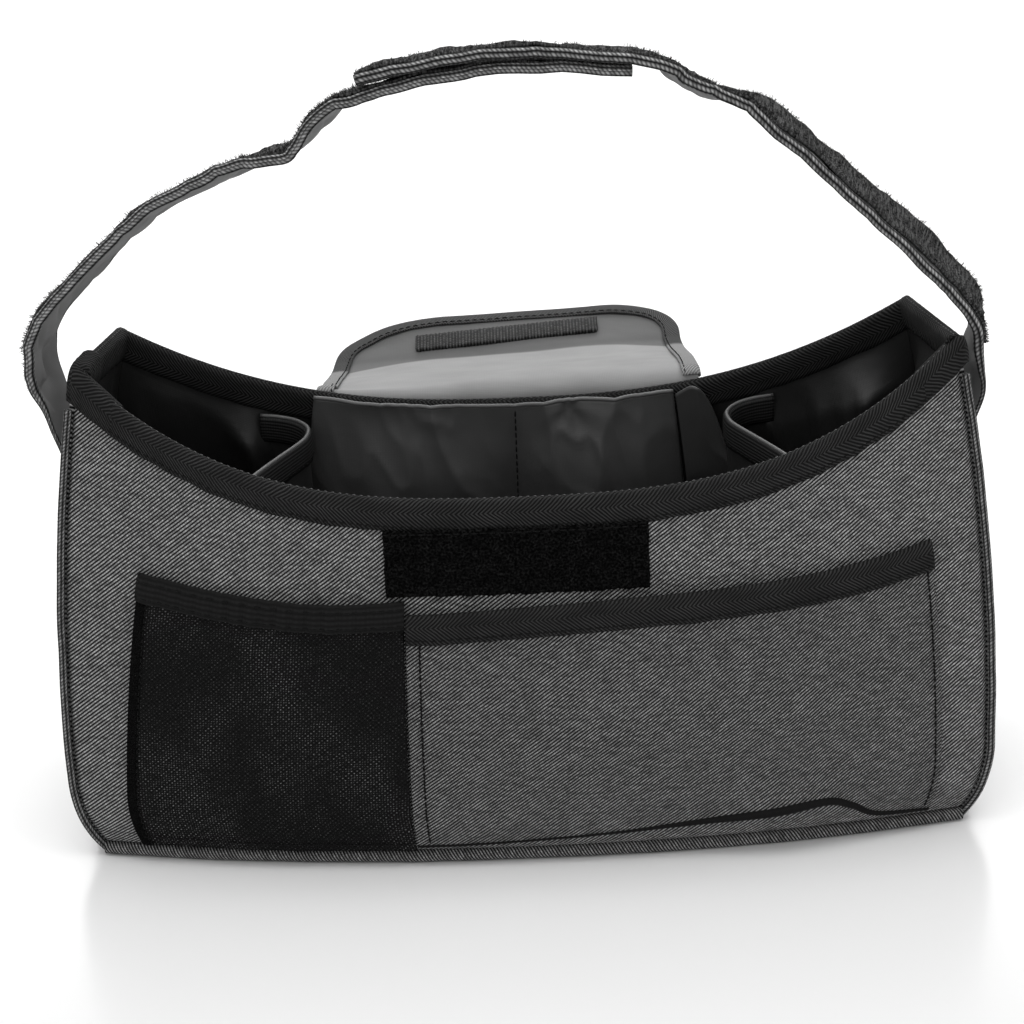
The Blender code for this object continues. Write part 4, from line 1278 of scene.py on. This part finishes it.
def cup_grid(side):
    """Divider from the front wall to the back wall, turning near the back one."""
    line = smooth_line(CUP_LINE, 6)
    rows = np.linspace(0, 1, 41)
    grid = []
    for t in rows:
        reach = CUP_REACH + OVER_TAPE * t ** 4
        z = CUP_FOOT_Z + (CUP_TOP_Z - CUP_FOOT_Z) * t
        front = reach - wall_depth(-1, CUP_LINE[0][1], z)
        back = wall_depth(1, CUP_LINE[-1][1], z) - reach
        x = side * (line[:, 1] + CUP_FOOT_SPREAD * (1 - t) * np.sin(math.pi * line[:, 0]))
        y = front + (back - front) * line[:, 0]
        rise = CUP_BACK_RISE * t ** 3 * smooth_step(4 * line[:, 0] - 3)
        grid.append(np.stack((x, y, z + rise), axis=-1))
    grid = np.array(grid)
    return grid if side < 0 else grid[:, ::-1]


def cup_dividers():
    for name, side in (("left_cup", -1), ("right_cup", 1)):
        grid = cup_grid(side)
        s = np.linspace(0, 1, grid.shape[1])
        t = np.linspace(0, 1, grid.shape[0])[:, None]
        sag = 0.0016 * soft_noise(grid * (1, 1, 0.5), 45, 80 + side) * np.sin(math.pi * s)
        grid = push(grid, sag * (1 - t ** 6))
        divider = cloth(name + "_wall", grid, LINING, CUP_NYLON, "lining", name + "_divider")
        edge, away, down = top_frame(grid)
        band, band_grid = folded_tape(
            name + "_band", edge, away, down, LINING, CUP_BAND_LEG, ELASTIC, CUP_ELASTIC,
            "elastic", name + "_elastic", seed=12 + side, crown=0.0005, ruffle=0.0003)
        sew = seam_stitches(name + "_stitches", [(band_grid[1] + away * ELASTIC, away)],
                            BLACK_THREAD, "elastic")
        # A light grey tube along the band's top: a painted highlight on its edge.
        lip_highlight = tube(name + "_lip_highlight", band_grid[9] - down * ELASTIC, 0.0008, HEM_HIGHLIGHT_NYLON, "elastic")


def lid_spine(x):
    """The lid's middle surface over one distance from its middle: (y, z) points."""
    z = rim_height(1, x / HALF_RIM_BACK)
    rise = z - RIM_MIDDLE_BACK_Z
    line = []
    for drop in (LID_BASE_DROP, LID_BASE_DROP / 2, 0.0):
        line.append((wall_depth(1, x, z - drop) + LID_CLEAR + TAPE, z - drop))
    near = wall_depth(1, x, z) - DEPTH_MIDDLE_RIM
    for index, (back, up) in enumerate(LID_ARC + (LID_END,)):
        follow = max(1 - (index + 1) / len(LID_ARC), 0) ** (3 if index == 0 else 8)
        tilt = LID_TILT * (1 - follow) * x
        line.append((DEPTH_MIDDLE_RIM + back + near * follow,
                     RIM_MIDDLE_BACK_Z + up + rise * follow + tilt))
    return smooth_line([(0, y, z) for y, z in line], 10)[:, 1:]


def lid_grid(across=81, along=75):
    """Face of the lid and its normals: up the back wall, over the tape, back to round corners."""
    grid, away = [], []
    for share in np.sin(np.linspace(-1, 1, across) * math.pi / 2):
        spine = lid_spine(LID_HALF_END * share)
        run = path_lengths(spine)
        corner, corner_run = LID_CORNERS[-1 if share < 0 else 1]
        over = max(LID_HALF_END * abs(share) - (LID_HALF_END - corner), 0)
        end = run[-1] - corner_run * (1 - math.sqrt(1 - (over / corner) ** 2))
        places = np.linspace(0, end, along)
        taper = np.clip(1 - (places - LID_BASE_DROP) / LID_ARC[-1][0], 0, 1)
        half = LID_HALF_END + (LID_HALF_BASE - LID_HALF_END) * taper
        y = np.interp(places, run, spine[:, 0])
        z = np.interp(places, run, spine[:, 1])
        grid.append(np.stack((LID_MIDDLE_X + half * share, y, z), axis=-1))
        ahead = np.stack((np.zeros(along), np.gradient(y), np.gradient(z)), axis=-1)
        away.append(unit(np.cross(np.array((1, 0, LID_TILT)), ahead)))
    return np.array(grid).transpose(1, 0, 2), np.array(away).transpose(1, 0, 2)


def lid():
    """Lid of twill and lining, inside face up, with tape on its three free edges."""
    middle, away_all = lid_grid()
    run = run_lengths(middle, 0)[:, middle.shape[1] // 2]
    side = np.abs(middle[..., 0] - LID_MIDDLE_X) / LID_HALF_END
    calm = np.clip(run / 0.03, 0, 1)[:, None] * np.clip((1 - side) * 6, 0, 1)
    soft = 0.0010 * soft_noise(middle * (0.5, 1, 1), 60, 90) * calm
    middle = middle + away_all * soft[..., None]
    top = middle + away_all * (GAP / 2 + LINING)
    under = middle - away_all * (GAP / 2)
    # The lid's nylon carries a painted sheen on the near part and a painted shade past the fold.
    inner = cloth("lid_inside", top, LINING, LID_SHEEN_NYLON, "lining", "lid_lining", even=False)
    outer = cloth("lid_outside", under, TWILL, BODY_TWILL, "twill", "lid_panel", even=False)
    rows = list(range(LID_TAPE_START, len(top)))
    border = [(i, 0) for i in rows] + [(len(top) - 1, j) for j in range(1, top.shape[1] - 1)]
    border += [(i, top.shape[1] - 1) for i in reversed(rows)]
    edge = np.array([top[p] for p in border])
    away = np.array([away_all[p] for p in border])
    source = path_lengths(edge)
    edge, places = even_path(edge, 0.0016)
    away = unit(sampled(places, source, away))
    ahead = unit(np.gradient(edge, axis=0))
    inward = unit(np.cross(ahead, away))
    band, band_grid = folded_tape(
        "lid_binding", edge, away, inward, LINING + GAP + TWILL, LID_TAPE_LEG, TAPE,
        LID_TAPE_SHEEN_RIBS, "tape", "lid_tape", seed=14, crown=0.0006, ruffle=0.0003)
    sew = seam_stitches("lid_stitches", [(band_grid[1] + away * TAPE, away)],
                        BLACK_THREAD, "tape")
    strip = hook_strip(top)


def hook_strip(top):
    """Stiff hook strip, sewn a little askew near the lid's free edge."""
    middle = top.shape[1] // 2
    spine = top[:, middle]
    lengths = path_lengths(spine)
    far = lengths[-1] - LID_TAPE_LEG - TAPE - SEW_GAP - HOOK_BACK
    x, along = np.meshgrid(np.linspace(-HOOK_HALF, HOOK_HALF, 83),
                           np.linspace(far - HOOK_WIDTH, far, 15))
    along = along + HOOK_SLANT * x
    y = np.interp(along, lengths, spine[:, 1])
    z = np.interp(along, lengths, spine[:, 2])
    grid = np.stack((LID_MIDDLE_X + x, y, z + LID_TILT * x), axis=-1)
    pegs = 0.0005 * np.abs(np.sin(math.pi * np.arange(83) / 2))
    grid = push(grid, SEW_GAP + HOOK - 0.0005 + pegs)
    return cloth("lid_hooks", grid, HOOK, HOOKS, "hooks", "lid_hook_strip")


def strap_grid(points, half, count, lift, side, pieces=10):
    """Grid along a strap, lifted off its middle surface."""
    line = smooth_line(points, pieces)
    run = unit(np.gradient(line[:, [0, 1]], axis=0))
    away = side * np.stack((run[:, 1], np.zeros(len(run)), -run[:, 0]), axis=-1)
    lean = np.radians(line[:, 2])[:, None]
    across = np.array((0, 1, 0)) * np.cos(lean) + away * np.sin(lean)
    middle = np.stack((line[:, 0], np.zeros(len(line)), line[:, 1]), axis=-1)
    offsets = np.linspace(-half, half, count)
    grid = middle[:, None] + across[:, None] * offsets[None, :, None]
    out = unit(np.cross(across, np.stack((run[:, 0], np.zeros(len(run)), run[:, 1]), axis=-1)))
    out = out * np.sign((out * away).sum(-1, keepdims=True))
    return grid + out[:, None] * lift, out, middle


def strap_foot(side):
    """Where a strap's sewn end lies flat against the gusset, from its cut end upwards."""
    corner_z = (rim_height(-1, 1) + rim_height(1, 1)) / 2
    foot = []
    for z in STRAP_FOOT_HEIGHTS:
        row = (z - SEAM_Z) / (corner_z - SEAM_Z)
        out = abs(gusset_point(side, 0.5, row)[0]) + SEW_GAP + STRAP / 2
        foot.append((side * out, z, STRAP_FOOT_LEAN))
    return tuple(foot)


def strap_ripple(grid, out, middle, side):
    """Soft waves of a strap, calm where it is sewn and along its hems."""
    steady = smooth_step((middle[:, 2] - 0.175) / 0.02)[:, None]
    across = np.abs(grid[..., 1]) / (STRAP_WIDTH / 2)
    waves = 0.0020 * soft_noise(grid, 60, 100 + side) + 0.0014 * creases(grid, 70, 104)
    waves = waves * np.clip(1 - across ** 4, 0, 1)
    edges = 0.0007 * soft_noise(middle, 55, 102 + side)[:, None]
    return grid + out[:, None] * ((waves + edges) * steady)[..., None]


def strap(name, points, side):
    """Twill strap with thick hemmed edges and loop tape on its outer face."""
    points = strap_foot(side) + points
    grid, out, middle = strap_grid(points, STRAP_WIDTH / 2 - STRAP_HEM, 29, 0.0, side)
    grid = strap_ripple(grid, out, middle, side)
    upper = grid + out[:, None] * STRAP / 2
    shown = upper if side > 0 else upper[:, ::-1]
    thing = cloth(name + "_band", shown, STRAP, STRAP_NYLON, "twill", name)
    free = smooth_step((middle[:, 2] - 0.175) / 0.02)
    hem = STRAP_FOOT_HEM + (STRAP_HEM - STRAP_FOOT_HEM) * free
    near = tube(name + "_near_hem", grid[:, 0], hem, STRAP_BRAID, "twill",
                sides=14, normal=out)
    far = tube(name + "_far_hem", grid[:, -1], STRAP_HEM / 2, STRAP_FUZZ, "twill",
               sides=8, normal=out)
    lift = STRAP / 2 + SEW_GAP + STRAP_TAPE
    tape, _, _ = strap_grid(points, STRAP_TAPE_WIDTH / 2, 27, 0.0, side)
    tape = strap_ripple(tape, out, middle, side)[STRAP_PILE_START:]
    pile = lift + 0.0004 + 0.0005 * soft_noise(tape, 700, 110 + side)
    tape = tape + out[STRAP_PILE_START:, None] * pile[..., None]
    shown = tape if side > 0 else tape[:, ::-1]
    pile_piece = cloth(name + "_pile", shown, STRAP_TAPE, STRAP_FUZZ, "loops",
                       name + "_loop_tape")
    fray = hairs(name + "_fray", shown, 2600, 0.0008, STRAP_FUZZ, "loops", 120 + side,
                 edges_only=2.5)


def straps():
    strap("left_strap", LEFT_LINE, -1)
    strap("right_strap", RIGHT_LINE, 1)
    under, _, middle = strap_grid(RIGHT_LINE, STRAP_TAPE_WIDTH / 2, 15,
                                  -(STRAP / 2 + SEW_GAP), 1)
    end = middle[:, 0] < OVERLAP_HALF
    end &= np.arange(len(middle)) > len(middle) // 2
    cloth("right_strap_hooks", under[end], STRAP_TAPE, HOOKS, "hooks", "right_strap_hook_tape")


# Stage

def aim(thing, target):
    direction = Vector(target) - thing.location
    thing.rotation_euler = direction.to_track_quat("-Z", "Y").to_euler()


def area_light(name, place, target, size, power):
    data = bpy.data.lights.new(name, "AREA")
    data.shape = "RECTANGLE"
    data.size, data.size_y = size
    data.energy = power
    lamp = bpy.data.objects.new(name, data)
    lamp.location = place
    aim(lamp, target)
    bpy.context.scene.collection.objects.link(lamp)


def lights():
    for lamp in LAMPS:
        area_light(*lamp)


def stage():
    """White table that curves up behind the bag."""
    profile = [(-TABLE_HALF, 0.0), (TABLE_CURVE_Y, 0.0)]
    for angle in np.linspace(0, math.pi / 2, 13)[1:]:
        profile.append((TABLE_CURVE_Y + TABLE_CURVE * math.sin(angle),
                        TABLE_CURVE * (1 - math.cos(angle))))
    profile.append((TABLE_CURVE_Y + TABLE_CURVE, BACKDROP_Z))
    grid = np.array([[(x, y, z) for x in (-TABLE_HALF, TABLE_HALF)] for y, z in profile])
    floor = mesh_object("table_sweep", [(grid, cloth_uv(grid), False)])
    floor.data.materials.append(table_paint())
    world = bpy.data.worlds.new("studio")
    world.use_nodes = True
    background = world.node_tree.nodes["Background"]
    background.inputs["Color"].default_value = (1, 1, 1, 1)
    background.inputs["Strength"].default_value = WORLD_LIGHT
    bpy.context.scene.world = world


def camera():
    back = Vector((0, -math.cos(CAMERA_ELEVATION), math.sin(CAMERA_ELEVATION)))
    right = Vector((1, 0, 0))
    up = back.cross(right)
    turned = right * math.cos(CAMERA_ROLL) + up * math.sin(CAMERA_ROLL)
    risen = up * math.cos(CAMERA_ROLL) - right * math.sin(CAMERA_ROLL)
    place = CAMERA_TARGET + back * CAMERA_DISTANCE
    data = bpy.data.cameras.new("camera")
    data.lens = CAMERA_LENS
    thing = bpy.data.objects.new("camera", data)
    bpy.context.scene.collection.objects.link(thing)
    thing.matrix_world = Matrix((
        (turned.x, risen.x, back.x, place.x), (turned.y, risen.y, back.y, place.y),
        (turned.z, risen.z, back.z, place.z), (0, 0, 0, 1)))
    bpy.context.scene.camera = thing


def build():
    camera()
    lights()
    stage()
    face_panel("front_wall", -1, ("front_panel", "front_padding"), 1)
    face_panel("back_wall", 1, ("back_panel", "back_padding"), 3)
    gusset()
    welts()
    rim_binding()
    rim_end("left_rim_end", -1, 0.30, rise=RIM_END_RISE, crown=0.0022, frayed=True)
    rim_end("right_rim_end", 1, 0.015, rise=-0.0010, crown=0.0008, frayed=False)
    loop_patch()
    mesh_pocket()
    twill_pocket()
    lining()
    slip_pocket()
    cup_dividers()
    lid()
    straps()
    bpy.context.scene.view_settings.view_transform = "Standard"


build()
